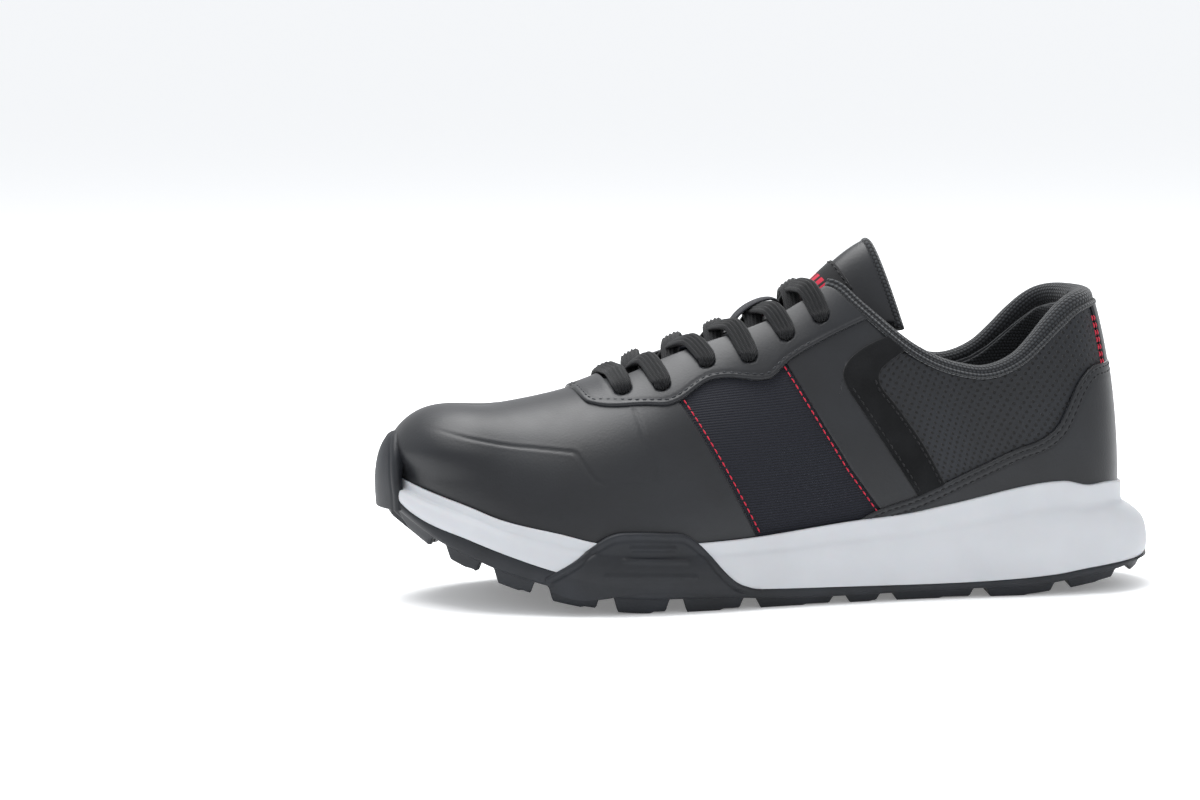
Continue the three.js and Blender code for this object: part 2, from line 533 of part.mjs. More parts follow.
const FLAP_HINGE = [14.6, 0, 115.6];       // across the tongue, just above the top lace
const TONGUE_FACE = [0, -1.2];
const TONGUE_FOAM = [-1.5, -4.9];
const TONGUE_LINING = [-5.2, -6];
const SECTION_HALF = 5;                    // points from the ridge to an edge

// A curved sheet across the tongue through the given stations, between two depths.
function tongueSheet(stations, [top, bottom], narrower = 0) {
  return loft(stations.map(([x, z, halfWidth, drop, lean]) => {
    const down = new THREE.Vector3(Math.sin(lean * Math.PI / 180), 0,
      -Math.cos(lean * Math.PI / 180));
    const at = (k, depth) => {
      const y = (halfWidth - narrower) * k / SECTION_HALF;
      const fall = drop * (y / halfWidth) ** 2;
      const slope = 2 * drop * y / halfWidth ** 2;
      const length = Math.hypot(slope, 1);
      return new THREE.Vector3(x, CENTRE_Y + y + depth * slope / length, z)
        .addScaledVector(down, fall - depth / length);
    };
    const ks = Array.from({ length: 2 * SECTION_HALF + 1 }, (_, i) => i - SECTION_HALF);
    return [...ks.map((k) => at(k, top)), ...ks.toReversed().map((k) => at(k, bottom))];
  }));
}
add('tongue_face', tongueSheet(TONGUE, TONGUE_FACE), LEATHER);
add('tongue_foam', tongueSheet(TONGUE, TONGUE_FOAM, 1), FOAM);
add('tongue_lining', tongueSheet(TONGUE, TONGUE_LINING, 0.5), KNIT);
add('flap_face', tongueSheet(FLAP, TONGUE_FACE), LEATHER);
add('flap_foam', tongueSheet(FLAP, TONGUE_FOAM, 1), FOAM);
add('flap_lining', tongueSheet(FLAP, TONGUE_LINING, 0.5), KNIT);
add('tongue_binding', tongueSheet(FLAP_END, [0.4, -6.2]), TEXTILE);
add('tongue_label', tongueSheet([[15.6, 118.4, 18.6, 23.8, 33],
  [20, 122.6, 19, 25.5, 32], [27, 128.8, 19.5, 28, 30]], [1.0, GAP], 7), RED);

// Loop on the tongue that keeps the lace in the middle.
const KEEPER_HALF_WIDTH = 5;
const KEEPER_THICK = 1.2;
const keeperLine = new THREE.CatmullRomCurve3([[-14.5, 101.4], [-12.5, 106.5], [-8, 110.8],
  [-2, 113.6], [3, 113.8], [4.2, 111.4]].map(([x, z]) => new THREE.Vector3(x, 0, z)));
add('lace_keeper', loft(keeperLine.getSpacedPoints(9).map((p, i) => {
  const t = keeperLine.getTangentAt(i / 9);
  const n = new THREE.Vector3(-t.z, 0, t.x);
  return [[-1, 0], [1, 0], [1, 1], [-1, 1]].map(([across, up]) => p.clone()
    .addScaledVector(n, up * KEEPER_THICK).setY(CENTRE_Y + across * KEEPER_HALF_WIDTH));
})), TEXTILE);

// ---- lace ---------------------------------------------------------------------------------------
const LACE_WIDTH = 7.5;
const LACE_INSIDE_WIDTH = 4.6;
const LACE_THICK = 1.3;
const LACE_ROUND = EYELET_RADIUS - 0.5;    // gathered round where it passes an eyelet
const LACE_OUT = 2.75;         // height of the lace's middle over the eyestay
const LACE_IN = -5.65;         // depth of its middle under the eyestay
const LACE_END_IN = LACE_IN - 0.8;
const LACE_END = [[12, 98], [7, 88]];      // side-view places of the free end inside the shoe
const AGLET = [[7, 87.4], [-1, 71]];       // from the lace to the tip
const AGLET_RADIUS = [1.4, 1.2];

function ribbon(stations) {
  return loft(stations.map(({ point, normal, depth, width }, i, all) => {
    const centre = (st) => st.point.clone().addScaledVector(st.normal, st.depth);
    const along = centre(all[Math.min(i + 1, all.length - 1)])
      .sub(centre(all[Math.max(i - 1, 0)])).normalize();
    const across = normal.clone().cross(along).normalize();
    const up = along.clone().cross(across);
    return [[-1, -1], [1, -1], [1, 1], [-1, 1]].map(([a, b]) => centre({ point, normal, depth })
      .addScaledVector(across, a * width / 2).addScaledVector(up, b * LACE_THICK / 2));
  }));
}
function ridgeAt(x) {
  const slope = (spineZ(x + 1) - spineZ(x - 1)) / 2;
  return {
    point: new THREE.Vector3(x, CENTRE_Y, spineZ(x)),
    normal: new THREE.Vector3(-slope, 0, 1).normalize(),
  };
}
// Beside the throat's edge: `beyond` is how far outside the opening the place lies.
const edgeAt = (x, side, beyond) => lastAt(x, CENTRE_Y + side * (THROAT_EDGE(x) + beyond),
  side, 'y');
const eyelet = (row, side) => lastAt(...EYELETS[row], side);

// Straight bar over the first pair of eyelets.
const barX = EYELETS[0][0];
let lace = ribbon([
  { ...eyelet(0, -1), depth: LACE_OUT, width: LACE_WIDTH },
  { ...edgeAt(barX, -1, 0.5), depth: LACE_OUT + 0.3, width: LACE_WIDTH },
  { ...edgeAt(barX, -1, -4), depth: LACE_OUT, width: LACE_WIDTH },
  { ...ridgeAt(barX), depth: 1.4, width: LACE_WIDTH },
  { ...edgeAt(barX, 1, -4), depth: LACE_OUT, width: LACE_WIDTH },
  { ...edgeAt(barX, 1, 0.5), depth: LACE_OUT + 0.3, width: LACE_WIDTH },
  { ...eyelet(0, 1), depth: LACE_OUT, width: LACE_WIDTH }]);
for (const side of [-1, 1]) {
  // Each run leaves an eyelet underneath, comes up in the throat, and enters the next
  // eyelet of the other side from above.
  for (let row = 1; row < EYELETS.length; row++) {
    const [from, to] = [EYELETS[row - 1][0], EYELETS[row][0]];
    lace = lace.add(ribbon([
      { ...eyelet(row - 1, -side), depth: LACE_IN, width: LACE_INSIDE_WIDTH },
      { ...edgeAt(lerp(from, to, 0.15), -side, 1), depth: LACE_IN, width: LACE_INSIDE_WIDTH },
      { ...edgeAt(lerp(from, to, 0.25), -side, -4), depth: LACE_IN + 0.1, width: LACE_INSIDE_WIDTH },
      { ...ridgeAt(lerp(from, to, 0.5)), depth: -1.6, width: LACE_WIDTH },
      { ...edgeAt(lerp(from, to, 0.75), side, -4.5), depth: LACE_OUT - 0.4, width: LACE_WIDTH },
      { ...edgeAt(lerp(from, to, 0.88), side, 0.3), depth: LACE_OUT + 0.3, width: LACE_WIDTH },
      { ...eyelet(row, side), depth: LACE_OUT, width: LACE_WIDTH }]));
  }
  for (let row = 0; row < EYELETS.length; row++) {
    const { point, normal } = eyelet(row, side);
    const length = LACE_OUT - LACE_IN + 0.8;
    const g = new THREE.CylinderGeometry(LACE_ROUND, LACE_ROUND, length, 6);
    g.applyQuaternion(new THREE.Quaternion().setFromUnitVectors(new THREE.Vector3(0, 1, 0),
      normal));
    const middle = point.clone().addScaledVector(normal, (LACE_OUT + LACE_IN) / 2);
    lace = lace.add(solid(g.translate(middle.x, middle.y, middle.z)));
  }
  // The end hangs inside the shoe and carries the aglet.
  lace = lace.add(ribbon([
    { ...eyelet(5, side), depth: LACE_IN, width: LACE_INSIDE_WIDTH },
    { ...lastAt(...LACE_END[0], side), depth: LACE_END_IN, width: LACE_INSIDE_WIDTH },
    { ...lastAt(...LACE_END[1], side), depth: LACE_END_IN, width: 3 }]));
}
add('lace', lace, LACE);

for (const [name, side] of [['lateral_aglet', -1], ['medial_aglet', 1]]) {
  const [a, b] = AGLET.map((place) => {
    const { point, normal } = lastAt(...place, side);
    return point.addScaledVector(normal, LACE_END_IN);
  });
  const g = new THREE.CylinderGeometry(...AGLET_RADIUS, a.distanceTo(b), 8);
  g.applyQuaternion(new THREE.Quaternion().setFromUnitVectors(new THREE.Vector3(0, 1, 0),
    a.clone().sub(b).normalize()));
  const middle = a.clone().lerp(b, 0.5);
  add(name, solid(g.translate(middle.x, middle.y, middle.z)), PLASTIC);
}

// ---- export -------------------------------------------------------------------------------------
const box = new THREE.Box3().setFromObject(shoe);
shoe.position.set(-(box.min.x + box.max.x) / 2, -(box.min.y + box.max.y) / 2, -box.min.z);
export default shoe;
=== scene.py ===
import math

import bmesh
import bpy
import numpy as np
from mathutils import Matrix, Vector


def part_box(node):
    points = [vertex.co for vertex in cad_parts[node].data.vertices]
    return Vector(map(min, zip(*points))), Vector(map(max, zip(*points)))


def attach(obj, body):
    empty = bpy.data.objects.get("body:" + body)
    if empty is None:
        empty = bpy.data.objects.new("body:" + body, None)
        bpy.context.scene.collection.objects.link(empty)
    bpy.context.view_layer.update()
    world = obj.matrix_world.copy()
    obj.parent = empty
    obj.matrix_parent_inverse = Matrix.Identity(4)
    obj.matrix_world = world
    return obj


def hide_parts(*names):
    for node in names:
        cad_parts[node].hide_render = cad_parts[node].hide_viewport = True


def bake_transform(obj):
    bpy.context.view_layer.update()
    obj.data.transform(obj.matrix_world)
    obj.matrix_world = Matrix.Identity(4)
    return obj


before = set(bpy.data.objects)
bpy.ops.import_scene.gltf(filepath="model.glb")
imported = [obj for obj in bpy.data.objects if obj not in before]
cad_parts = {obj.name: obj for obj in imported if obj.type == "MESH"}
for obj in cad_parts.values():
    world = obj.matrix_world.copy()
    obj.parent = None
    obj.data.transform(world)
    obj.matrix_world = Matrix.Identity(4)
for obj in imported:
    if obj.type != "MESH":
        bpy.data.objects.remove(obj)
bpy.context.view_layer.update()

# ---- Camera, floor and light -------------------------------------------------------------------
# A long lens looks at the lateral side, slightly from the toe and from above. The floor is one
# flat white sheet, under a large overhead softbox, a front fill and a rim light.
CAMERA_AZIMUTH = math.radians(-12)
CAMERA_HEIGHT_ANGLE = math.radians(6)
CAMERA_DISTANCE = 1.6
CAMERA_TARGET = Vector((-0.0676, 0.0022, 0.0762))
CAMERA_LENS = 123.2

camera = bpy.data.objects.new("camera", bpy.data.cameras.new("camera"))
bpy.context.collection.objects.link(camera)
camera.data.lens = CAMERA_LENS
camera.data.sensor_width = 36
camera.data.clip_end = 100
towards_camera = Vector((
    math.sin(CAMERA_AZIMUTH) * math.cos(CAMERA_HEIGHT_ANGLE),
    -math.cos(CAMERA_AZIMUTH) * math.cos(CAMERA_HEIGHT_ANGLE),
    math.sin(CAMERA_HEIGHT_ANGLE)))
camera.location = CAMERA_TARGET + towards_camera * CAMERA_DISTANCE
camera.rotation_euler = towards_camera.to_track_quat("Z", "Y").to_euler()
bpy.context.scene.camera = camera
bpy.context.scene.view_settings.view_transform = "Standard"


def linear(code):
    """A colour written as #rrggbb, in the linear values that a shader takes."""
    parts = [int(code[i:i + 2], 16) / 255 for i in (1, 3, 5)]
    parts = [c / 12.92 if c <= 0.04045 else ((c + 0.055) / 1.055) ** 2.4 for c in parts]
    return (*parts, 1.0)


def add_node(tree, kind, settings, links=()):
    """A node with its settings, (input or property, value), and links, (input, other's output)."""
    node = tree.nodes.new("ShaderNode" + kind)
    for key, value in settings.items():
        if isinstance(key, str) and key.islower() and hasattr(node, key):
            setattr(node, key, value)
        else:
            node.inputs[key].default_value = value
    for key, output in links:
        tree.links.new(output, node.inputs[key])
    return node


def material(name, colour, roughness, **settings):
    """A Principled material: its node tree and shader, ready for the pattern's nodes."""
    made = bpy.data.materials.new(name)
    made.use_nodes = True
    shader = made.node_tree.nodes["Principled BSDF"]
    shader.inputs["Base Color"].default_value = linear(colour)
    shader.inputs["Roughness"].default_value = roughness
    for key, value in settings.items():
        shader.inputs[key.replace("_", " ")].default_value = value
    return made, made.node_tree, shader


floor_mesh = bpy.data.meshes.new("floor")
FLOOR_HALF = 40.0
floor_mesh.from_pydata([(-FLOOR_HALF, -FLOOR_HALF, 0), (FLOOR_HALF, -FLOOR_HALF, 0),
                        (FLOOR_HALF, FLOOR_HALF, 0), (-FLOOR_HALF, FLOOR_HALF, 0)],
                       [], [(0, 1, 2, 3)])
floor = bpy.data.objects.new("floor", floor_mesh)
bpy.context.collection.objects.link(floor)
paper = material("matt_white_paper", "#f8f9fa", 0.9, Emission_Strength=0.2)[0]
floor_mesh.materials.append(paper)

world = bpy.data.worlds.new("studio")
bpy.context.scene.world = world
world.use_nodes = True
world.node_tree.nodes["Background"].inputs["Color"].default_value = (0.965, 0.98, 1.0, 1.0)
world.node_tree.nodes["Background"].inputs["Strength"].default_value = 0.78


def softbox(name, place, size, power):
    """A rectangular area light of `size` metres at `place`, aimed at the shoe."""
    light = bpy.data.lights.new(name, "AREA")
    light.shape = "RECTANGLE"
    light.size, light.size_y = size
    light.energy = power
    lamp = bpy.data.objects.new(name, light)
    bpy.context.collection.objects.link(lamp)
    lamp.location = place
    lamp.rotation_euler = (Vector(place) - Vector((0, 0, 0.05))).to_track_quat("Z", "Y").to_euler()


softbox("overhead_softbox", (-0.25, 0.35, 1.5), (1.5, 1.0), 32)
softbox("front_fill", (0.3, -1.7, 0.8), (1.4, 0.9), 1.6)
softbox("rim_light", (0.9, 1.2, 0.9), (0.5, 1.0), 7)

# ---- Strobel board -----------------------------------------------------------------------------
# A non-woven fibre board, stitched round its edge to the lasted upper. It closes the upper
# underneath and is cemented to the midsole. Its edge is the feather line of the last.
FEATHER = [(141, -1), (136.5, -20), (124, -31.5), (98, -36.5), (65, -37.5), (30, -40),
           (-5, -45), (-40, -51), (-75, -52), (-106, -43.5), (-131, -26), (-144.5, -3),
           (-143, 17), (-128, 34), (-104, 44.5), (-72, 48), (-38, 44), (-4, 35), (30, 28.5),
           (65, 28.5), (98, 32.5), (124, 30), (137, 18)]
FEATHER_Z = [(-153, 48.8), (-145, 45), (-127, 36.5), (-110, 30), (-90, 26), (-60, 23),
             (-20, 24), (22, 27.5), (66, 33), (110, 37), (143, 35)]
BOARD_INSET = 1.9
BOARD_TOP = 2.1
BOARD_STEPS = 48


def closed_curve(points):
    """A smooth closed plan curve through points; s runs once round it from 0 to 1."""
    points = np.array(points, float)
    count = len(points)

    def at(s):
        place = np.mod(np.asarray(s, float), 1.0) * count
        first = np.floor(place).astype(int)
        w = (place - first)[..., None]
        a, b, c, d = (points[(first + k) % count] for k in (-1, 0, 1, 2))
        return 0.5 * (2 * b + (c - a) * w + (2 * a - 5 * b + 4 * c - d) * w ** 2
                      + (3 * b - 3 * c + d - a) * w ** 3)
    return at


def profile(points):
    """A smooth function through (x, value) points, flat beyond its ends."""
    xs, values = np.array(points, float).T
    slope = np.diff(values) / np.diff(xs)
    tangent = np.r_[slope[0], (slope[1:] + slope[:-1]) / 2, slope[-1]]

    def at(x):
        x = np.clip(np.asarray(x, float), xs[0], xs[-1])
        i = np.clip(np.searchsorted(xs, x, side="right") - 1, 0, len(xs) - 2)
        width = xs[i + 1] - xs[i]
        t = (x - xs[i]) / width
        return ((2 * t ** 3 - 3 * t ** 2 + 1) * values[i]
                + (t ** 3 - 2 * t ** 2 + t) * width * tangent[i]
                + (3 * t ** 2 - 2 * t ** 3) * values[i + 1]
                + (t ** 3 - t ** 2) * width * tangent[i + 1])
    return at


def plan_point(curve, s, out=0.0):
    """The plan curve's point at s, moved outwards."""
    ahead = curve(np.asarray(s) + 1e-4) - curve(np.asarray(s) - 1e-4)
    ahead = ahead / np.linalg.norm(ahead, axis=-1, keepdims=True)
    return curve(s) + out * np.stack([-ahead[..., 1], ahead[..., 0]], -1)


feather_plan = closed_curve(FEATHER)
feather_z = profile(FEATHER_Z)

# The pattern pieces are drawn in the last maker's own millimetres; the board's corner in the
# frame says where that drawing lies.
board_outline = plan_point(feather_plan, (np.arange(BOARD_STEPS) + 0.5) / BOARD_STEPS,
                           -BOARD_INSET)
board_low = np.array(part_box("strobel_board")[0]) * 1000
DRAWING_ORIGIN = np.array([*(board_low[:2] - board_outline.min(axis=0)), 0.0])


def placed(points):
    """Points of the drawing, in millimetres, as metres in the frame."""
    return (np.asarray(points, float) + DRAWING_ORIGIN) / 1000


def finish_kept(node_name, made):
    """A CAD part whose shape is right takes its real material."""
    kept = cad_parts[node_name]
    kept.data.materials.clear()
    kept.data.materials.append(made)


# Needle-punched polyester board: pale, matt, with short fibres in all directions.
board, tree, shader = material("needled_fibre_board", "#b9b4a8", 0.92)
FIBRE_LONG = 0.6
fibres = add_node(tree, "TexNoise", {"Scale": 1000 / FIBRE_LONG, "Detail": 4.0},
                  [("Vector", add_node(tree, "TexCoord", {}).outputs["Object"])])
tint = add_node(tree, "ValToRGB", {}, [("Fac", fibres.outputs["Fac"])])
tint.color_ramp.elements[0].color = linear("#a39d90")
tint.color_ramp.elements[1].color = linear("#c9c4b9")
tree.links.new(tint.outputs["Color"], shader.inputs["Base Color"])
relief = add_node(tree, "Bump", {"Strength": 0.4, "Distance": 0.0002},
                  [("Height", fibres.outputs["Fac"])])
tree.links.new(relief.outputs["Normal"], shader.inputs["Normal"])
finish_kept("strobel_board", board)

# ---- Toe puff and heel counter -----------------------------------------------------------------
# Thermoplastic sheets, warmed and moulded between the leather and the lining, that keep the
# toe's and the heel's shape. They are plain and slightly waxy.
stiffener, tree, shader = material("thermoplastic_stiffener", "#8d8a82", 0.6, IOR=1.5)
MOTTLE_WIDE = 3.0
mottle = add_node(tree, "TexNoise", {"Scale": 1000 / MOTTLE_WIDE, "Detail": 2.0},
                  [("Vector", add_node(tree, "TexCoord", {}).outputs["Object"])])
tint = add_node(tree, "ValToRGB", {}, [("Fac", mottle.outputs["Fac"])])
tint.color_ramp.elements[0].color = linear("#7f7c74")
tint.color_ramp.elements[1].color = linear("#9a978f")
tree.links.new(tint.outputs["Color"], shader.inputs["Base Color"])
finish_kept("toe_puff", stiffener)
finish_kept("heel_counter", stiffener)

# ---- Linings -----------------------------------------------------------------------------------
# Black spacer knit, cut in a front piece and a collar piece that meet in a seam under the
# ankle. The collar piece lies over the padding. Both hang from the top edge of the upper.
SPINE_Z = [(-117, 74), (-100, 76.3), (-76, 81.5), (-60, 87.5), (-45, 95), (-31, 101),
           (-13, 108), (0, 114), (13, 122.5), (26, 132), (40, 142), (60, 153), (80, 159),
           (94, 160)]
CENTRE_Y = 1.5
THROAT_EDGE = [(-68, 8), (-62, 12.5), (-52, 14.5), (-30, 16), (40, 16.5)]
THROAT_FRONT = -66.5
THROAT_REAR = 70
THROAT_LOW = 60
COLLAR_FRONT = 12
COLLAR_EDGE = [(12, 121), (18, 120.5), (23.4, 119), (28, 114), (34.9, 107.3), (42.5, 100.4),
               (50.2, 94.5), (60.3, 89.2), (70.5, 86.2), (78.8, 85.2), (87, 86.8),
               (95.5, 91), (103.3, 97.3), (110.2, 103.2), (118.7, 109.3), (126, 111.5),
               (140, 111.5)]
PADDING_LOW = [(18, 104), (40, 80), (70, 65), (100, 67), (125, 75), (150, 79)]
PADDING_BULGE = 6.0
LINING_SEAM_X = 52.0
LINING_DEPTH = -3.3
LINING_THICK = 1.0

spine_z = profile(SPINE_Z)
throat_edge = profile(THROAT_EDGE)
collar_z = profile(COLLAR_EDGE)
padding_low = profile(PADDING_LOW)


def smoothstep(x, low, high):
    t = np.clip((np.asarray(x, float) - low) / (high - low), 0, 1)
    return t * t * (3 - 2 * t)


def last_point(s, t):
    """The last's surface: ribs rise from the feather line, at s, and lean in to the spine."""
    s, t = np.broadcast_arrays(np.asarray(s, float), np.asarray(t, float))
    foot = feather_plan(s)
    outward = plan_point(feather_plan, s, 1.0) - foot
    x = foot[..., 0]
    spine_x = np.where(x < -105, -105 + (x + 105) * 0.28,
                       np.where(x > 84, 84 + (x - 84) * 0.16, x))
    boxiness = 2 + 0.6 * (1 - smoothstep(x, -140, -90)) + 0.1 * smoothstep(x, 60, 140)
    angle = np.clip(t, 0, 1) * math.pi / 2
    inward = 1 - np.maximum(np.cos(angle), 0) ** (2 / boxiness)
    upward = np.maximum(np.sin(angle), 0) ** (2 / boxiness)
    arch = np.where(foot[..., 1] > 0, 8 * np.exp(-((x - 40) / 45) ** 2),
                    1.5 * np.exp(-((x + 10) / 60) ** 2))
    toe = 2 * (1 - smoothstep(x, -135, -100))
    bulge = (arch + toe) * 4 * upward * (1 - upward)
    z = feather_z(x)
    return np.stack([
        x + (spine_x - x) * inward + outward[..., 0] * bulge,
        foot[..., 1] + (CENTRE_Y - foot[..., 1]) * inward + outward[..., 1] * bulge,
        z + (spine_z(spine_x) - z) * upward], -1)


def unit(vectors):
    return vectors / np.maximum(np.linalg.norm(vectors, axis=-1, keepdims=True), 1e-12)


def last_normal(s, t):
    t = np.clip(t, 0.012, 0.985)
    along = last_point(np.asarray(s) + 1e-3, t) - last_point(np.asarray(s) - 1e-3, t)
    up = last_point(s, t + 0.01) - last_point(s, t - 0.01)
    normal = unit(np.cross(up, along))
    # At the spine both sides take the spine's own normal, so that they meet.
    x = last_point(s, t)[..., 0]
    spine = np.stack([spine_z(x - 0.5) - spine_z(x + 0.5), 0 * x, 1 + 0 * x], -1)
    share = smoothstep(t, 0.8, 0.985)[..., None]
    return unit(normal + (unit(spine) - normal) * share)


def at_foot_x(x, side):
    """The s of the rib that starts at x on one side (-1 lateral, +1 medial)."""
    table = np.linspace(0, 0.5, 2001) if side < 0 else np.linspace(1, 0.5, 2001)
    xs = feather_plan(table)[:, 0]
    toe = int(np.argmin(xs))
    return np.interp(-np.asarray(x, float), -xs[:toe + 1], table[:toe + 1])


TOE_S = float(np.linspace(0, 1, 4001)[np.argmin(feather_plan(np.linspace(0, 1, 4001))[:, 0])])


def steep_rail(line, side):
    """For a steep side-view line of (x, z): a function from height t on the last to s."""
    line = np.array(sorted(line, key=lambda p: p[1]), float)
    ts = np.linspace(0, 1, 121)
    s = np.full(ts.shape, 0.25 if side < 0 else 0.75)
    for _ in range(60):
        here, near = last_point(s, ts), last_point(s + 1e-4, ts)
        miss = here[:, 0] - np.interp(here[:, 2], line[:, 1], line[:, 0])
        next_miss = near[:, 0] - np.interp(near[:, 2], line[:, 1], line[:, 0])
        s = s - np.clip(miss / ((next_miss - miss) / 1e-4), -0.02, 0.02)
    return lambda t: np.interp(t, ts, s)


def inside_opening(p):
    """Over zero where a point of the last lies in the throat or above the collar's edge."""
    x = p[..., 0]
    throat = np.where((x > THROAT_FRONT) & (x < THROAT_REAR) & (p[..., 2] > THROAT_LOW),
                      throat_edge(x) - np.abs(p[..., 1] - CENTRE_Y), -1.0)
    collar = np.where(x > COLLAR_FRONT, p[..., 2] - collar_z(x), -1.0)
    return np.maximum(throat, collar)


def border_steps(length, cell, fine):
    """Places from 0 to 1 over a length, close together at both ends."""
    ends = np.array([0, 0.2, 0.5, 0.9, 1.4, 2.0, 2.8]) if fine else np.array([0.0])
    ends = ends[ends < length / 2 - cell / 2]
    count = max(1, int(round((length - 2 * ends[-1]) / cell)))
    middle = np.linspace(ends[-1], length - ends[-1], count + 1)
    return np.r_[ends[:-1], middle, (length - ends[:-1])[::-1]] / length


def panel_places(front, rear, low, high, us, vs, cut=False):
    """A grid of (s, t) over a panel. `front` and `rear` give s from t, and each column runs
    from where `low` turns over zero, or the feather line, to where `high` does, or the spine.
    With `cut`, all columns share their heights and are cut off at `high`."""
    table = np.linspace(0, 1, 401)
    s_front, s_rear = front(table), rear(table)
    grid = np.zeros((len(us), len(vs), 2))
    for i, u in enumerate(us):
        s = s_front + (s_rear - s_front) * u
        p = last_point(s, table)
        ends = []
        for test, missing in ((low, 0.0), (high, 1.0)):
            if test is None:
                ends.append(missing)
                continue
            value = test(p)
            over = np.flatnonzero((value[1:] > 0) & (value[:-1] <= 0))
            if len(over) == 0:
                never_over = value[-1] <= 0
                ends.append(1.0 if never_over or missing == 1.0 else 0.0)
                continue
            k = over[0]
            ends.append(table[k] + (table[k + 1] - table[k])
                        * -value[k] / (value[k + 1] - value[k]))
        t = ends[0] + (max(ends[1], ends[0] + 1e-3) - ends[0]) * vs
        if cut:
            t = np.minimum(ends[0] + (1 - ends[0]) * vs, ends[1])
        grid[i, :, 0] = np.interp(t, table, s)
        grid[i, :, 1] = t
    return grid


def distance_to(points, path):
    """The distance of each point from a line of points."""
    flat = points.reshape(-1, 3)
    best = np.full(len(flat), 1e9)
    for a, b in zip(path[:-1], path[1:]):
        way = b - a
        w = np.clip(((flat - a) @ way) / max(way @ way, 1e-12), 0, 1)
        best = np.minimum(best, np.linalg.norm(flat - a - w[:, None] * way, axis=1))
    return best.reshape(points.shape[:-1])


def mesh_piece(name, vertices, faces, made, body, cloth=None, weld=None):
    """A smooth-shaded piece from points of the drawing, riding on a body, or on none when no body is
    given. `cloth` holds the pattern's own coordinates, in millimetres, for weaves and seams."""
    mesh = bpy.data.meshes.new(name)
    mesh.from_pydata(placed(vertices).tolist(), [], faces)
    if cloth is not None:
        layer = mesh.attributes.new("cloth", "FLOAT_VECTOR", "POINT")
        layer.data.foreach_set("vector", np.asarray(cloth, np.float32).ravel())
    shape = bmesh.new()
    shape.from_mesh(mesh)
    if weld:
        bmesh.ops.remove_doubles(shape, verts=shape.verts, dist=weld / 1000)
        seen = {}
        for face in shape.faces:
            seen.setdefault(frozenset(v.index for v in face.verts), []).append(face)
        doubled = [f for same in seen.values() if len(same) > 1 for f in same]
        bmesh.ops.delete(shape, geom=doubled, context="FACES")
    bmesh.ops.recalc_face_normals(shape, faces=shape.faces)
    shape.to_mesh(mesh)
    shape.free()
    mesh.shade_smooth()
    mesh.materials.append(made)
    piece = bpy.data.objects.new(name, mesh)
    bpy.context.collection.objects.link(piece)
    if body:
        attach(piece, body)
    return piece


def grid_faces(rows, columns, offset=0, round_rows=False):
    """Quads over a grid of points; `round_rows` closes the first index on itself."""
    faces = []
    for i in range(rows if round_rows else rows - 1):
        j = (i + 1) % rows
        for k in range(columns - 1):
            faces.append((offset + i * columns + k, offset + j * columns + k,
                          offset + j * columns + k + 1, offset + i * columns + k + 1))
    return faces


def closed_sheet(outer, inner):
    """Points and faces of a thin closed body between two equal grids of points."""
    rows, columns = outer.shape[:2]
    size = rows * columns
    faces = grid_faces(rows, columns) + grid_faces(rows, columns, size)
    rim = ([(i, 0) for i in range(rows)] + [(rows - 1, k) for k in range(1, columns)]
           + [(i, columns - 1) for i in range(rows - 2, -1, -1)]
           + [(0, k) for k in range(columns - 2, 0, -1)])
    rim = [i * columns + k for i, k in rim]
    for a, b in zip(rim, rim[1:] + rim[:1]):
        faces.append((a, b, b + size, a + size))
    return np.concatenate([outer.reshape(-1, 3), inner.reshape(-1, 3)]), faces


def panel(name, places, top, thick, made, round_edges=(), radius=0.8, weld=None, relief=None,
          body="shoe"):
    """A panel of the upper over a grid of places: its face lies at depth `top` outside the
    last, rounded over at the named edges or lines, with `relief(points)` added. Several
    grids make one piece, welded where they meet."""
    vertices, faces, cloths = [], [], []
    for grid in places if isinstance(places, list) else [places]:
        s, t = grid[..., 0], grid[..., 1]
        base, normal = last_point(s, t), last_normal(s, t)
        borders = {"front": base[0], "rear": base[-1], "low": base[:, 0], "high": base[:, -1]}
        face = np.full(s.shape, float(top)) if np.isscalar(top) else top(base)
        depth = face
        for edge in round_edges:
            path = borders[edge] if isinstance(edge, str) else edge
            near = np.clip(1 - distance_to(base, path) / radius, 0, 1)
            depth = depth - radius * (1 - np.sqrt(np.maximum(1 - near ** 2, 0)))
        if relief is not None:
            depth = depth + relief(base)
        inner = np.minimum(face - thick, depth - 0.2)
        points, quads = closed_sheet(base + normal * depth[..., None],
                                     base + normal * inner[..., None])
        faces += [tuple(len(vertices) + k for k in quad) for quad in quads]
        vertices += list(points)
        steps_along = np.linalg.norm(np.diff(base[:, base.shape[1] // 2], axis=0), axis=1)
        steps_up = np.linalg.norm(np.diff(base, axis=1), axis=2)
        along = np.cumsum(np.r_[0, steps_along])
        up = np.cumsum(np.c_[np.zeros(len(base)), steps_up], axis=1)
        cloth = np.stack([np.broadcast_to(along[:, None], s.shape), up, depth], -1)
        cloths += [cloth.reshape(-1, 3)] * 2
    return mesh_piece(name, np.array(vertices), faces, made, body, np.concatenate(cloths), weld)


def padding_swell(p):
    """How far the collar's padding pushes the lining inwards."""
    return (PADDING_BULGE * smoothstep(p[..., 2] - padding_low(p[..., 0]), 0, 14)
            * smoothstep(p[..., 0], 26, 62))


# Spacer knit: two thin faces joined by yarns, which shows as small oval cells in offset rows.
KNIT_CELL = 1.7
FUZZ_LONG = 0.5


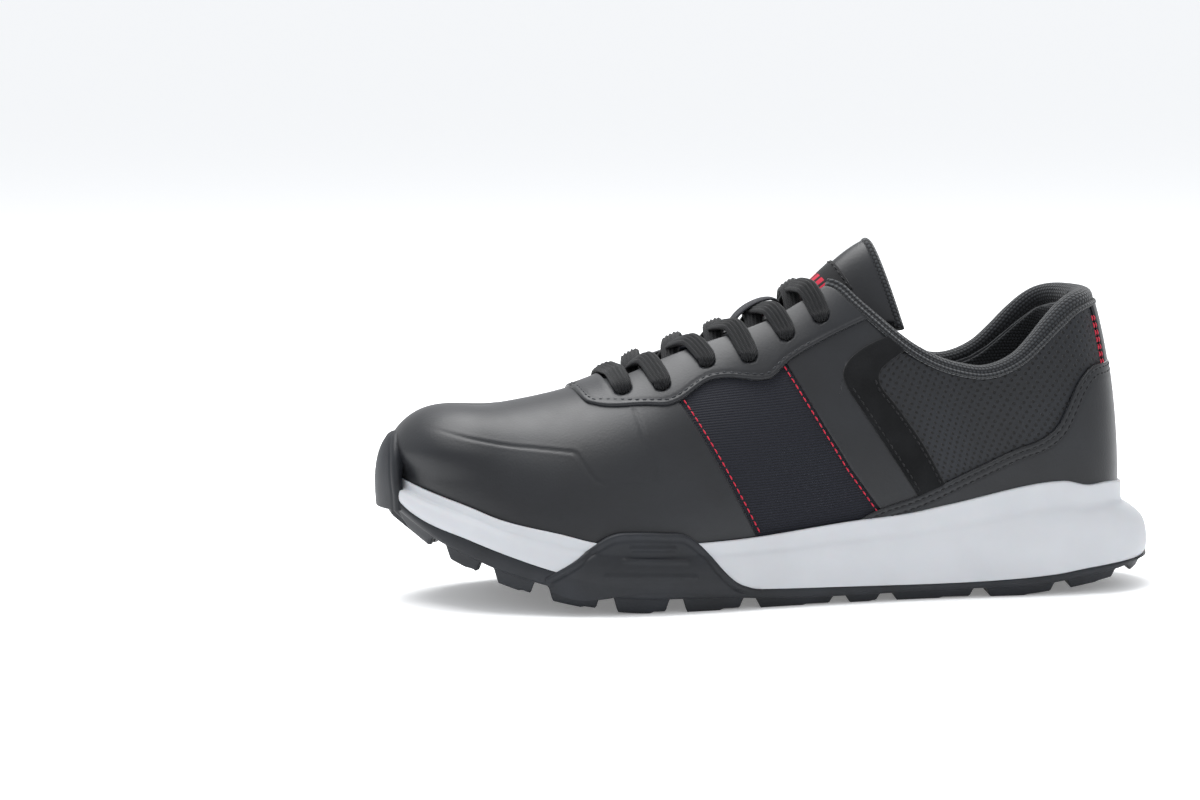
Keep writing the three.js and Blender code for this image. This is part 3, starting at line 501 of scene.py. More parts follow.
def knit_material(name, dark, light, cell):
    made, tree, shader = material(name, dark, 0.85, Sheen_Weight=0.25, Sheen_Roughness=0.5,
                                  Specular_IOR_Level=0.25)
    cloth = add_node(tree, "Attribute", {"attribute_name": "cloth"}).outputs["Vector"]
    parts = add_node(tree, "SeparateXYZ", {}, [("Vector", cloth)])
    row = add_node(tree, "Math", {"operation": "DIVIDE", 1: cell * 0.8},
                   [(0, parts.outputs["Y"])])
    number = add_node(tree, "Math", {"operation": "FLOOR"}, [(0, row.outputs[0])])
    shift = add_node(tree, "Math", {"operation": "MULTIPLY", 1: 0.5}, [(0, number.outputs[0])])
    column = add_node(tree, "Math", {"operation": "DIVIDE", 1: cell}, [(0, parts.outputs["X"])])
    moved = add_node(tree, "Math", {"operation": "ADD"},
                     [(0, column.outputs[0]), (1, shift.outputs[0])])
    heights = []
    for value in (moved, row):
        turn = add_node(tree, "Math", {"operation": "MULTIPLY", 1: math.pi},
                        [(0, value.outputs[0])])
        wave = add_node(tree, "Math", {"operation": "SINE"}, [(0, turn.outputs[0])])
        heights.append(add_node(tree, "Math", {"operation": "ABSOLUTE"},
                                [(0, wave.outputs[0])]))
    loops = add_node(tree, "Math", {"operation": "MULTIPLY"},
                     [(0, heights[0].outputs[0]), (1, heights[1].outputs[0])])
    fuzz = add_node(tree, "TexNoise", {"Scale": 1000 / FUZZ_LONG, "Detail": 3.0},
                    [("Vector", add_node(tree, "TexCoord", {}).outputs["Object"])])
    height = add_node(tree, "Math", {"operation": "MULTIPLY_ADD", 1: 0.25},
                      [(0, fuzz.outputs["Fac"]), (2, loops.outputs[0])])
    # Colour follows the relief: near-black in the hollows between loops, lighter on the raised
    # loops, as painted shade and painted highlight over the knit's own black.
    tint = add_node(tree, "ValToRGB", {}, [("Fac", height.outputs[0])])
    tint.color_ramp.elements[0].color = linear("#050608")
    tint.color_ramp.elements[0].position = 0.15
    tint.color_ramp.elements[1].color = linear(light)
    tint.color_ramp.elements[1].position = 0.95
    tree.links.new(tint.outputs["Color"], shader.inputs["Base Color"])
    bump = add_node(tree, "Bump", {"Strength": 0.8, "Distance": 0.0004},
                    [("Height", height.outputs[0])])
    tree.links.new(bump.outputs["Normal"], shader.inputs["Normal"])
    return made


knit = knit_material("black_spacer_knit", "#1c1e21", "#2e3135", KNIT_CELL)


def above_board(p):
    return p[..., 2] - feather_z(p[..., 0]) - BOARD_TOP


def lining_depth(p):
    return LINING_DEPTH - padding_swell(p)


seam_lateral, seam_medial = (float(at_foot_x(LINING_SEAM_X, side)) for side in (-1, 1))
collar_lining = panel(
    "collar_lining_knit",
    panel_places(lambda t: np.full_like(t, seam_lateral),
                 lambda t: np.full_like(t, seam_medial - 1),
                 above_board, inside_opening, np.linspace(0, 1, 111), np.linspace(0, 1, 36)),
    lining_depth, LINING_THICK, knit)
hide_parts("collar_lining")

front_us = np.linspace(0, 1, 141)
front_lining = panel(
    "front_lining_knit",
    panel_places(lambda t: np.full_like(t, seam_lateral + 0.001),
                 lambda t: np.full_like(t, seam_medial - 0.001), above_board, inside_opening,
                 front_us, np.linspace(0, 1, 30)),
    LINING_DEPTH, LINING_THICK, knit)
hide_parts("upper_lining")

# ---- Collar padding ----------------------------------------------------------------------------
# A die-cut ring of soft open-cell foam between the leather and the lining round the ankle.
foam, tree, shader = material("open_cell_foam", "#3a3b3d", 0.95, Sheen_Weight=0.15)
cells = add_node(tree, "TexVoronoi", {"Scale": 1400.0},
                 [("Vector", add_node(tree, "TexCoord", {}).outputs["Object"])])
# Darker at the sunken middle of each cell: painted shade in the pores, over the foam's own grey.
tint = add_node(tree, "ValToRGB", {}, [("Fac", cells.outputs["Distance"])])
tint.color_ramp.elements[0].color = linear("#26272a")
tint.color_ramp.elements[1].color = linear("#4b4d50")
tree.links.new(tint.outputs["Color"], shader.inputs["Base Color"])
bump = add_node(tree, "Bump", {"Strength": 0.5, "Distance": 0.0003},
                [("Height", cells.outputs["Distance"])])
tree.links.new(bump.outputs["Normal"], shader.inputs["Normal"])
finish_kept("collar_padding", foam)

# ---- Vamp --------------------------------------------------------------------------------------
# One piece of smooth, corrected-grain cow leather with a satin finish, lasted over the toe.
# Its rear edges are folded and stitched over the textile bands, and two lines are embossed
# into each side.
BAND_FRONT = [(-46, 120), (-46, 85), (-41.7, 77.4), (-15.1, 27.6), (-10, 18)]
LEATHER_TOP = 0.45
LEATHER_THICK = 1.6
LONG_EMBOSS = [(-141, 67.6), (-134.8, 66.2), (-123.4, 64.2), (-106.8, 62.3), (-91.7, 60.9),
               (-84.3, 60.2), (-82.4, 57.1), (-80.3, 53.2), (-78, 50.3), (-74.8, 49),
               (-60.7, 49.6)]
SHORT_EMBOSS = [(-59.7, 75.3), (-57.8, 65), (-54.4, 55.3), (-55.3, 50.5)]
EMBOSS_DEEP = 0.32
EMBOSS_WIDE = 0.6
TOE_BULGE = 3.0


def on_last(x, value, side, axis=2):
    """(s, t) where x and z (or y, axis 1) have the given values on one side of the last."""
    x, value = np.broadcast_arrays(np.asarray(x, float), np.asarray(value, float))
    s_table, t_table = np.meshgrid(np.linspace(0.01, 0.49, 121) + (0 if side < 0 else 0.5),
                                   np.linspace(0.02, 0.98, 49), indexing="ij")
    table = last_point(s_table, t_table)
    miss = [(table[..., 0] - a) ** 2 + (table[..., axis] - b) ** 2
            for a, b in zip(x.ravel(), value.ravel())]
    best = np.array([np.argmin(m) for m in miss])
    s, t = (values.ravel()[best].reshape(x.shape) for values in (s_table, t_table))
    for _ in range(20):
        p = last_point(s, t)
        ps = (last_point(s + 1e-4, t) - p) / 1e-4
        pt = (last_point(s, t + 1e-4) - p) / 1e-4
        det = ps[..., 0] * pt[..., axis] - ps[..., axis] * pt[..., 0]
        dx, dv = x - p[..., 0], value - p[..., axis]
        s = s + np.clip((dx * pt[..., axis] - dv * pt[..., 0]) / det, -0.03, 0.03)
        t = np.clip(t + np.clip((ps[..., 0] * dv - ps[..., axis] * dx) / det, -0.08, 0.08),
                    0.004, 0.992)
    return np.stack([s, t], -1)


def densely(points, step=2.0):
    """A line of points with more points put in, about `step` apart."""
    points = np.array(points, float)
    out = [points[:1]]
    for a, b in zip(points[:-1], points[1:]):
        count = max(1, int(np.ceil(np.linalg.norm(b - a) / step)))
        out.append(a + (b - a) * np.linspace(0, 1, count + 1)[1:, None])
    return np.concatenate(out)


def side_line(points, side, step=2.0):
    """The places on the last under a line drawn in side view."""
    line = densely(points, step)
    return on_last(line[:, 0], line[:, 1], side)


def emboss_relief(base):
    x, z = base[..., 0], base[..., 2]
    depth = np.zeros(base.shape[:-1])
    fade = smoothstep(x, -138, -118)
    for side in (-1, 1):
        for line in (LONG_EMBOSS, SHORT_EMBOSS):
            places = side_line(line, side)
            path = last_point(places[:, 0], places[:, 1])
            near = distance_to(base, path)
            depth -= fade * EMBOSS_DEEP * np.exp(-(near / EMBOSS_WIDE) ** 2)
            depth += fade * 0.06 * np.exp(-((near - 1.6) / 0.8) ** 2)
    return depth + TOE_BULGE * smoothstep(-x, 108, 138) * smoothstep(z, 49, 60)


# Corrected-grain leather under a satin polyurethane coat: the grain is a fine net of creases
# around pebbles of about half a millimetre, drawn a little coarse so that it shows.
CREASE_LONG = 9.0
HIDE_PATCH = 34.0


def leather_material(name, dark, light, roughness, grain_mm, bump_strength):
    made, tree, shader = material(name, dark, roughness, IOR=1.5, Coat_Weight=0.1,
                                  Coat_Roughness=0.42, Specular_IOR_Level=0.32,
                                  Sheen_Weight=0.06, Sheen_Roughness=0.4)
    place = add_node(tree, "TexCoord", {}).outputs["Object"]
    pebbles = add_node(tree, "TexVoronoi", {"feature": "SMOOTH_F1", "Scale": 1000 / grain_mm},
                       [("Vector", place)])
    creases = add_node(tree, "TexNoise", {"Scale": 1000 / CREASE_LONG, "Detail": 4.0},
                       [("Vector", place)])
    hide = add_node(tree, "TexNoise", {"Scale": 1000 / HIDE_PATCH, "Detail": 3.0},
                    [("Vector", place)])
    tint = add_node(tree, "ValToRGB", {}, [("Fac", hide.outputs["Fac"])])
    tint.color_ramp.elements[0].color = linear(dark)
    tint.color_ramp.elements[0].position = 0.3
    tint.color_ramp.elements[1].color = linear(light)
    tint.color_ramp.elements[1].position = 0.72
    tree.links.new(tint.outputs["Color"], shader.inputs["Base Color"])
    gloss = add_node(tree, "MapRange", {"To Min": roughness - 0.05, "To Max": roughness + 0.07},
                     [("Value", creases.outputs["Fac"])])
    tree.links.new(gloss.outputs["Result"], shader.inputs["Roughness"])
    height = add_node(tree, "Math", {"operation": "MULTIPLY_ADD", 1: 0.6},
                      [(0, creases.outputs["Fac"]), (2, pebbles.outputs["Distance"])])
    bump = add_node(tree, "Bump", {"Strength": bump_strength, "Distance": 0.00012},
                    [("Height", height.outputs[0])])
    tree.links.new(bump.outputs["Normal"], shader.inputs["Normal"])
    return made


leather = leather_material("satin_black_leather", "#18191c", "#1f2125", 0.4, 0.9, 0.3)

vamp_front = steep_rail(BAND_FRONT, -1)
vamp_rear = steep_rail(BAND_FRONT, 1)
# Columns fan out round the toe; each lateral column meets a medial one on the spine.
VAMP_COLUMNS = 200
lateral_us = np.linspace(0, 1, VAMP_COLUMNS)


def spine_of(s):
    return last_point(s, np.ones_like(s))[..., 0]


w = np.linspace(0, 1, 3001)
lateral_top = vamp_front(1.0) + (TOE_S - vamp_front(1.0)) * lateral_us
medial_table = vamp_rear(1.0) + (TOE_S - vamp_rear(1.0)) * w
medial_us = np.interp(-spine_of(lateral_top), -spine_of(medial_table), w)
vamp_vs = border_steps(90, 1.0, False)
halves = []
for rail, us in ((vamp_front, lateral_us), (vamp_rear, medial_us)):
    halves.append(panel_places(rail, lambda t: np.full_like(t, TOE_S), None, inside_opening,
                               us, vamp_vs, True))
vamp_places = np.concatenate([halves[0], halves[1][-2::-1]])
vamp = panel("vamp_leather", vamp_places, LEATHER_TOP, LEATHER_THICK, leather,
             round_edges=("front", "rear"), weld=0.12, relief=emboss_relief)
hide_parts("vamp")

# ---- Textile bands -----------------------------------------------------------------------------
# A navy-black ribbed woven band on each side, at the ball of the foot, tucked under the
# leather in front and behind. Its ribs run along the shoe.
BAND_REAR = [(-4, 120), (-4, 99), (0.8, 90.8), (6.2, 80.6), (13.8, 67.3), (23.1, 52.1),
             (34.2, 37), (42, 27), (48, 18)]
BAND_TOP = -0.25
TUCK = 1.5
RIB_PITCH = 1.15

# Ribbed polyester: each rib is a row of packed yarns, with a thin valley between rows that is
# darkened by painted shade.
textile, tree, shader = material("ribbed_navy_textile", "#0c0e15", 0.82, Sheen_Weight=0.2,
                                 Sheen_Roughness=0.45, Specular_IOR_Level=0.3)
cloth = add_node(tree, "Attribute", {"attribute_name": "cloth"}).outputs["Vector"]
parts = add_node(tree, "SeparateXYZ", {}, [("Vector", cloth)])
rib = add_node(tree, "Math", {"operation": "MULTIPLY", 1: math.pi / RIB_PITCH},
               [(0, parts.outputs["Y"])])
rib_wave = add_node(tree, "Math", {"operation": "SINE"}, [(0, rib.outputs[0])])
rib_height = add_node(tree, "Math", {"operation": "ABSOLUTE"}, [(0, rib_wave.outputs[0])])
yarn = add_node(tree, "Math", {"operation": "MULTIPLY", 1: 2 * math.pi / 0.7},
                [(0, parts.outputs["X"])])
yarn_wave = add_node(tree, "Math", {"operation": "SINE"}, [(0, yarn.outputs[0])])
height = add_node(tree, "Math", {"operation": "MULTIPLY_ADD", 1: 0.12},
                  [(0, yarn_wave.outputs[0]), (2, rib_height.outputs[0])])
# Colour follows the relief: painted shade in the valleys, painted highlight on the rib tops, over
# the band's own navy-black.
tint = add_node(tree, "ValToRGB", {}, [("Fac", height.outputs[0])])
tint.color_ramp.elements[0].color = linear("#04050a")
tint.color_ramp.elements[1].color = linear("#141722")
tree.links.new(tint.outputs["Color"], shader.inputs["Base Color"])
bump = add_node(tree, "Bump", {"Strength": 0.7, "Distance": 0.00025},
                [("Height", height.outputs[0])])
tree.links.new(bump.outputs["Normal"], shader.inputs["Normal"])

SIDES = {"lateral": -1, "medial": 1}


def shifted(line, dx):
    return [(x + dx, z) for x, z in line]


for side_name, side in SIDES.items():
    places = panel_places(steep_rail(shifted(BAND_FRONT, -TUCK), side),
                          steep_rail(shifted(BAND_REAR, TUCK), side), None, inside_opening,
                          border_steps(55, 2.2, False), border_steps(80, 2.0, False))
    band = panel(f"{side_name}_band_textile", places, BAND_TOP, 1.2, textile)
    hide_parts(f"{side_name}_textile_band")

# ---- Quarters ----------------------------------------------------------------------------------
# Smooth leather between the textile band and the strap, from the sole to the collar's edge.
QUARTER_REAR = [(58, 125), (50, 109), (41.5, 100), (34, 94), (29, 88), (27.5, 82), (32.5, 72),
                (43.5, 56), (54.5, 40), (60, 18)]


def smooth_rail(line, side):
    """A steep rail along a smoothed line."""
    x_of_z = profile(sorted((z, x) for x, z in line))
    zs = np.linspace(min(z for _, z in line), max(z for _, z in line), 120)
    return steep_rail(list(zip(x_of_z(zs), zs)), side)


for side_name, side in SIDES.items():
    places = panel_places(steep_rail(BAND_REAR, side), smooth_rail(shifted(QUARTER_REAR, 4), side),
                          None, inside_opening, border_steps(48, 2.0, True),
                          border_steps(85, 2.0, False))
    quarter = panel(f"{side_name}_quarter_leather", places, LEATHER_TOP, LEATHER_THICK, leather,
                    round_edges=("front",))
    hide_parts(f"{side_name}_quarter")

# ---- Collar panels -----------------------------------------------------------------------------
# Soft black leather with punched holes, drawn as dots of painted shade, from the strap round to the
# heel on each side.
PERFORATION_PITCH = 2.7
PERFORATION_RADIUS = 0.58


def draw_holes_in_painted_shade(made):
    """Draws the holes: a lattice turned by 45 degrees, each a near-black dot of painted shade rather
    than an opening, with a dished edge.
    """
    tree = made.node_tree
    shader = tree.nodes["Principled BSDF"]
    cloth = add_node(tree, "Attribute", {"attribute_name": "cloth"}).outputs["Vector"]
    turned = add_node(tree, "VectorRotate", {"rotation_type": "Z_AXIS",
                                             "Angle": math.radians(45)}, [("Vector", cloth)])
    lattice = add_node(tree, "TexVoronoi", {"voronoi_dimensions": "2D", "Randomness": 0.0,
                                            "Scale": 1 / PERFORATION_PITCH},
                       [("Vector", turned.outputs["Vector"])])
    away = add_node(tree, "Math", {"operation": "MULTIPLY", 1: PERFORATION_PITCH},
                    [(0, lattice.outputs["Distance"])])
    skin = add_node(tree, "MapRange", {"interpolation_type": "SMOOTHSTEP",
                                       "From Min": PERFORATION_RADIUS - 0.1,
                                       "From Max": PERFORATION_RADIUS + 0.16},
                    [("Value", away.outputs[0])])
    hide = shader.inputs["Base Color"].links[0].from_socket
    painted_hole_shade = add_node(tree, "Mix", {"data_type": "RGBA"}, [("Factor", skin.outputs["Result"])])
    # The near-black colour is painted shade for the inside of each hole.
    painted_hole_shade.inputs[6].default_value = linear("#020203")
    tree.links.new(hide, painted_hole_shade.inputs[7])
    tree.links.new(painted_hole_shade.outputs[2], shader.inputs["Base Color"])
    grain = shader.inputs["Normal"].links[0].from_node
    dish = add_node(tree, "Bump", {"Strength": 1.0, "Distance": 0.0005},
                    [("Height", skin.outputs["Result"]), ("Normal", grain.outputs["Normal"])])
    tree.links.new(dish.outputs["Normal"], shader.inputs["Normal"])


perforated = leather_material("perforated_soft_leather", "#14161a", "#1b1e24", 0.48, 1.0, 0.35)
draw_holes_in_painted_shade(perforated)
for side_name, side in SIDES.items():
    heel_s = 0.0 if side < 0 else 1.0
    places = panel_places(smooth_rail(QUARTER_REAR, side), lambda t, h=heel_s: np.full_like(t, h),
                          None, inside_opening, border_steps(95, 1.8, False),
                          border_steps(70, 1.8, False))
    collar_panel = panel(f"{side_name}_collar_leather", places, 0.0, 1.5, perforated)
    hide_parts(f"{side_name}_collar_panel")

# ---- Suede straps ------------------------------------------------------------------------------
# A strap of split suede on each side runs from under the heel overlay up to the collar. It
# is sewn along both edges with black thread.
STRAP_FRONT = [(20.5, 112), (21.4, 92), (22.4, 84.4), (28.7, 73.7), (38.8, 58.4), (50.3, 41),
               (56, 32)]
STRAP_TOP = [(21.2, 86), (22.2, 89.2), (24.4, 92.6), (27.5, 95.4), (31.5, 97.9), (36, 100),
             (42, 102.4), (50, 106), (60, 112)]
STRAP_REAR = [(58, 104), (47.5, 96.4), (37.4, 89.5), (36.4, 84), (42.5, 75.5), (53.2, 60.3),
              (61.8, 45), (68, 34)]
HEEL_OVERLAY_TOP = [(24.8, 30.4), (31.2, 34.1), (51.1, 40.4), (73.1, 49.6), (90.7, 57.1),
                    (103.6, 61.7), (109.1, 66.4), (112.4, 72.2), (117.1, 81), (123.4, 87.5),
                    (132, 89.3), (150, 89.3)]
OVERLAY_TOP = 1.7
SUEDE_TOP = 1.35
STITCH_PITCH = 2.9
STITCH_LONG = 2.2
STITCH_THICK = 0.62

overlay_top_z = profile(HEEL_OVERLAY_TOP)

# Split suede: a flat black nap of short fibres that lie in patches.
suede, tree, shader = material("black_split_suede", "#0b0c0d", 1.0, Sheen_Weight=0.12,
                               Sheen_Roughness=0.6, Specular_IOR_Level=0.1)
NAP_TUFT = 1.1
nap = add_node(tree, "TexNoise", {"Scale": 1000 / NAP_TUFT, "Detail": 6.0},
               [("Vector", add_node(tree, "TexCoord", {}).outputs["Object"])])
BRUSHED_PATCH = 14.0
brushed = add_node(tree, "TexNoise", {"Scale": 1000 / BRUSHED_PATCH, "Detail": 2.0},
                   [("Vector", add_node(tree, "TexCoord", {}).outputs["Object"])])
tint = add_node(tree, "ValToRGB", {}, [("Fac", brushed.outputs["Fac"])])
tint.color_ramp.elements[0].color = linear("#07080a")
tint.color_ramp.elements[0].position = 0.35
tint.color_ramp.elements[1].color = linear("#121315")
tint.color_ramp.elements[1].position = 0.65
tree.links.new(tint.outputs["Color"], shader.inputs["Base Color"])
bump = add_node(tree, "Bump", {"Strength": 0.6, "Distance": 0.0003},
                [("Height", nap.outputs["Fac"])])
tree.links.new(bump.outputs["Normal"], shader.inputs["Normal"])


def thread_material(name, colour, shine):
    """Twisted polyester sewing thread: a soft, even shine with a slanted twist."""
    made, tree, shader = material(name, colour, 0.55, Sheen_Weight=0.15, Sheen_Roughness=0.4,
                                  Specular_IOR_Level=shine)
    twist = add_node(tree, "TexWave", {"Scale": 900.0, "bands_direction": "DIAGONAL"},
                     [("Vector", add_node(tree, "TexCoord", {}).outputs["Object"])])
    bump = add_node(tree, "Bump", {"Strength": 0.4, "Distance": 0.0001},
                    [("Height", twist.outputs["Fac"])])
    tree.links.new(bump.outputs["Normal"], shader.inputs["Normal"])
    return made


black_thread = thread_material("black_sewing_thread", "#0d0e11", 0.3)
grey_thread = thread_material("charcoal_sewing_thread", "#24272c", 0.4)
red_thread = thread_material("red_sewing_thread", "#c01c38", 0.3)


def beside(places, distance):
    """A line of places on the last, moved sideways over its surface, to the left of its way."""
    s, t = places[:, 0], places[:, 1]
    p = last_point(s, t)
    side = np.cross(last_normal(s, t), unit(np.gradient(p, axis=0))) * distance
    ps = (last_point(s + 1e-4, t) - p) / 1e-4
    upper = np.minimum(t + 1e-4, 1)
    pt = (last_point(s, upper) - last_point(s, upper - 1e-4)) / 1e-4
    aa, ab, bb = (ps * ps).sum(-1), (ps * pt).sum(-1), (pt * pt).sum(-1)
    u, v = (ps * side).sum(-1), (pt * side).sum(-1)
    det = aa * bb - ab * ab
    return np.stack([s + (u * bb - v * ab) / det, t + (v * aa - u * ab) / det], -1)


def even_points(points, pitch):
    """Points `pitch` apart along a line, with the fractional index of each."""
    way = np.r_[0, np.cumsum(np.linalg.norm(np.diff(points, axis=0), axis=1))]
    return np.interp(np.arange(0, way[-1], pitch), way, np.arange(len(points)))


def stitch_row(name, points, normals, made, body="shoe"):
    """A row of lockstitches along a line: each is a rounded bar whose ends sink in."""
    index = np.arange(len(points))

    def pick(values, at):
        return np.stack([np.interp(at, index, values[:, k]) for k in range(3)], -1)
    starts = even_points(points, STITCH_PITCH)
    vertices, faces = [], []
    rings, sides = 5, 6
    for start in starts[:-1]:
        here = pick(points, start)
        way = unit(pick(points, min(start + 0.4, len(points) - 1))
                   - pick(points, max(start - 0.4, 0)))
        up = unit(pick(normals, start))
        across = unit(np.cross(up, way))
        first = len(vertices)
        for r in range(rings):
            u = r / (rings - 1) * 2 - 1
            bulge = math.sqrt(max(1 - u * u * 0.92, 0))
            centre = here + way * u * STITCH_LONG / 2 + up * (bulge - 0.72) * STITCH_THICK * 0.5
            for k in range(sides):
                angle = 2 * math.pi * k / sides
                vertices.append(centre + (across * math.cos(angle) + up * math.sin(angle))
                                * STITCH_THICK / 2 * bulge)
        for r in range(rings - 1):
            for k in range(sides):
                a, b = first + r * sides + k, first + r * sides + (k + 1) % sides
                faces.append((a, b, b + sides, a + sides))
        faces.append(tuple(first + k for k in range(sides)))
        faces.append(tuple(first + (rings - 1) * sides + k for k in range(sides)))
    piece = mesh_piece(name, np.array(vertices), faces, made, body)
    return piece


def sew(name, places, depth, made):
    """Stitches along places on the last, at a depth outside it."""
    base = last_point(places[:, 0], places[:, 1])
    normal = last_normal(places[:, 0], places[:, 1])
    return stitch_row(name, base + normal * depth, normal, made)


def over_heel_top(margin):
    return lambda p: p[..., 2] - overlay_top_z(p[..., 0]) - margin


strap_top_z = profile(STRAP_TOP)


def over_strap_top(p):
    return np.maximum(inside_opening(p), p[..., 2] - strap_top_z(p[..., 0]))


for side_name, side in SIDES.items():
    places = panel_places(smooth_rail(STRAP_FRONT, side), smooth_rail(STRAP_REAR, side),
                          over_heel_top(-3.0), over_strap_top, border_steps(15, 0.6, True),
                          border_steps(70, 1.2, True))
    strap = panel(f"{side_name}_strap_suede", places, SUEDE_TOP, 1.2, suede,
                  round_edges=("front", "rear", "high"), radius=0.7)
    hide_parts(f"{side_name}_suede_strap")
    for edge, inward in ((places[0], 1.7), (places[-1], -1.7)):
        row = beside(edge, inward * side)
        sew(f"{side_name}_strap_stitch_{'front' if inward > 0 else 'rear'}", row[5:-9],
            SUEDE_TOP, black_thread)

# The red seams of the textile bands: a row through the vamp's edge and one through the
# quarter's.
for side_name, side in SIDES.items():
    for seam, line, inward in (("vamp", BAND_FRONT, 1.3), ("quarter", BAND_REAR, -1.3)):
        rail = steep_rail(line, side)
        ts = np.linspace(0.04, 0.99, 160)
        places = np.stack([rail(ts), ts], -1)
        keep = inside_opening(last_point(places[:, 0], places[:, 1])) < 0
        row = beside(places[keep], inward * side)
        sew(f"{side_name}_{seam}_red_stitch", row, LEATHER_TOP, red_thread)

# ---- Eyestay -----------------------------------------------------------------------------------
# One U-shaped leather facing round the throat, in front of the tongue and down both sides.
# It is punched for six pairs of eyelets, and sewn along its low edge with charcoal thread.
EYESTAY_LOW = [(-78.4, 84), (-78.0, 80.6), (-76.8, 77.7), (-74.5, 76.6), (-54.5, 76.8), (-47, 77),
               (-42.5, 78.6), (-30.7, 85.5), (-23.9, 86.7), (-9.6, 85.8), (-5.5, 86.8),
               (1, 92.2), (15.6, 100.2), (34.2, 108.7)]
EYESTAY_FRONT_X = -78.2
EYESTAY_REAR_X = 33.6
EYELETS = [(-61.7, 80.9), (-47.7, 83.2), (-29.7, 91.4), (-13.6, 93.5), (2.2, 101.6),
           (16.1, 108.4)]
EYELET_RADIUS = 2.4
SEAM_INSET = 2.0

eyestay_low_z = profile(EYESTAY_LOW)


def over_eyestay_low(p):
    return p[..., 2] - eyestay_low_z(p[..., 0])


eyelet_places = {(row, side): on_last(*EYELETS[row], side)
                 for row in range(len(EYELETS)) for side in (-1, 1)}
eyelet_points = [last_point(*place) for place in eyelet_places.values()]
cross_xs = np.r_[EYESTAY_FRONT_X + border_steps(11.5, 1.0, True)[:-5] * 11.5,
                 THROAT_FRONT - 0.06, THROAT_FRONT + 0.06]
cross_xs = np.unique(np.clip(cross_xs, EYESTAY_FRONT_X, THROAT_FRONT + 0.06))
free_xs = np.linspace(THROAT_FRONT + 1, EYESTAY_REAR_X, 118)
eyestay_xs = np.r_[cross_xs, free_xs]
eyestay_halves = []
for side in (-1, 1):
    s_first, s_last = at_foot_x(EYESTAY_FRONT_X, side), at_foot_x(EYESTAY_REAR_X, side)
    us = (at_foot_x(eyestay_xs, side) - s_first) / (s_last - s_first)
    eyestay_halves.append(panel_places(
        lambda t, s=s_first: np.full_like(t, s), lambda t, s=s_last: np.full_like(t, s),
        over_eyestay_low, inside_opening, us, border_steps(24, 0.9, True)))
low_paths = [last_point(h[:, 0, 0], h[:, 0, 1]) for h in eyestay_halves]
front_paths = [last_point(h[0, :, 0], h[0, :, 1]) for h in eyestay_halves]
throat_paths = [last_point(h[len(cross_xs):, -1, 0], h[len(cross_xs):, -1, 1])
                for h in eyestay_halves]


def eyestay_relief(base):
    depth = np.zeros(base.shape[:-1])
    for point in eyelet_points:
        near = np.linalg.norm(base - point, axis=-1)
        depth -= 2.2 * (1 - smoothstep(near, EYELET_RADIUS - 0.5, EYELET_RADIUS + 0.3))
    for path in low_paths + front_paths:
        depth -= 0.22 * np.exp(-((distance_to(base, path) - SEAM_INSET) / 0.6) ** 2)
    return depth


eyestay = panel("eyestay_leather", eyestay_halves, OVERLAY_TOP, 1.35, leather,
                round_edges=low_paths + front_paths + throat_paths, radius=0.95, weld=0.12,
                relief=eyestay_relief)
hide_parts("eyestay")

for side_name, side in SIDES.items():
    edge = side_line(EYESTAY_LOW[1:-1], side, 1.0)
    sew(f"{side_name}_eyestay_stitch", beside(edge, -SEAM_INSET * side), OVERLAY_TOP - 0.2,
        grey_thread)

# ---- Heel overlay and back strip ---------------------------------------------------------------
# A smooth leather overlay wraps the heel from one side to the other, with two rows of black
# stitches along its top. Above it a narrow back strip covers the joint of the collar
# panels, sewn with red thread at both edges.
RIM_Z = [(-150, 50), (-141, 45.8), (-125, 39.9), (-114, 35.5), (-92, 30.4), (-78, 27),
         (-26, 26.5), (24, 31.4), (47, 33.5), (63, 36.3), (111, 44), (121, 42), (131, 42.5),
         (143, 41)]
OVERLAY_TIP_X = 25.5
BACK_STRIP_HALF = 15.0

rim_z = profile(RIM_Z)


def over_rim(p):
    return p[..., 2] - rim_z(p[..., 0]) + 1.5


tip_lateral = float(at_foot_x(OVERLAY_TIP_X, -1))
tip_medial = float(at_foot_x(OVERLAY_TIP_X, 1)) - 1


def overlay_relief(base):
    top_path = base[:, -1]
    near = distance_to(base, top_path)
    return (-0.2 * np.exp(-((near - 1.7) / 0.5) ** 2) - 0.2 * np.exp(-((near - 4.0) / 0.5) ** 2))


overlay_places = panel_places(lambda t: np.full_like(t, tip_lateral),
                              lambda t: np.full_like(t, tip_medial), over_rim,
                              over_heel_top(0.0), np.linspace(0, 1, 230),
                              border_steps(45, 1.4, True))
heel_overlay = panel("heel_overlay_leather", overlay_places, OVERLAY_TOP, 1.3, leather,
                     round_edges=("high",), radius=0.9, relief=overlay_relief)
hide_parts("heel_overlay")
for number, inset in enumerate((1.7, 4.0)):
    edge = overlay_places[3:-3, -1]
    sew(f"heel_overlay_stitch_{number + 1}", beside(edge, -inset), OVERLAY_TOP - 0.15,
        black_thread)

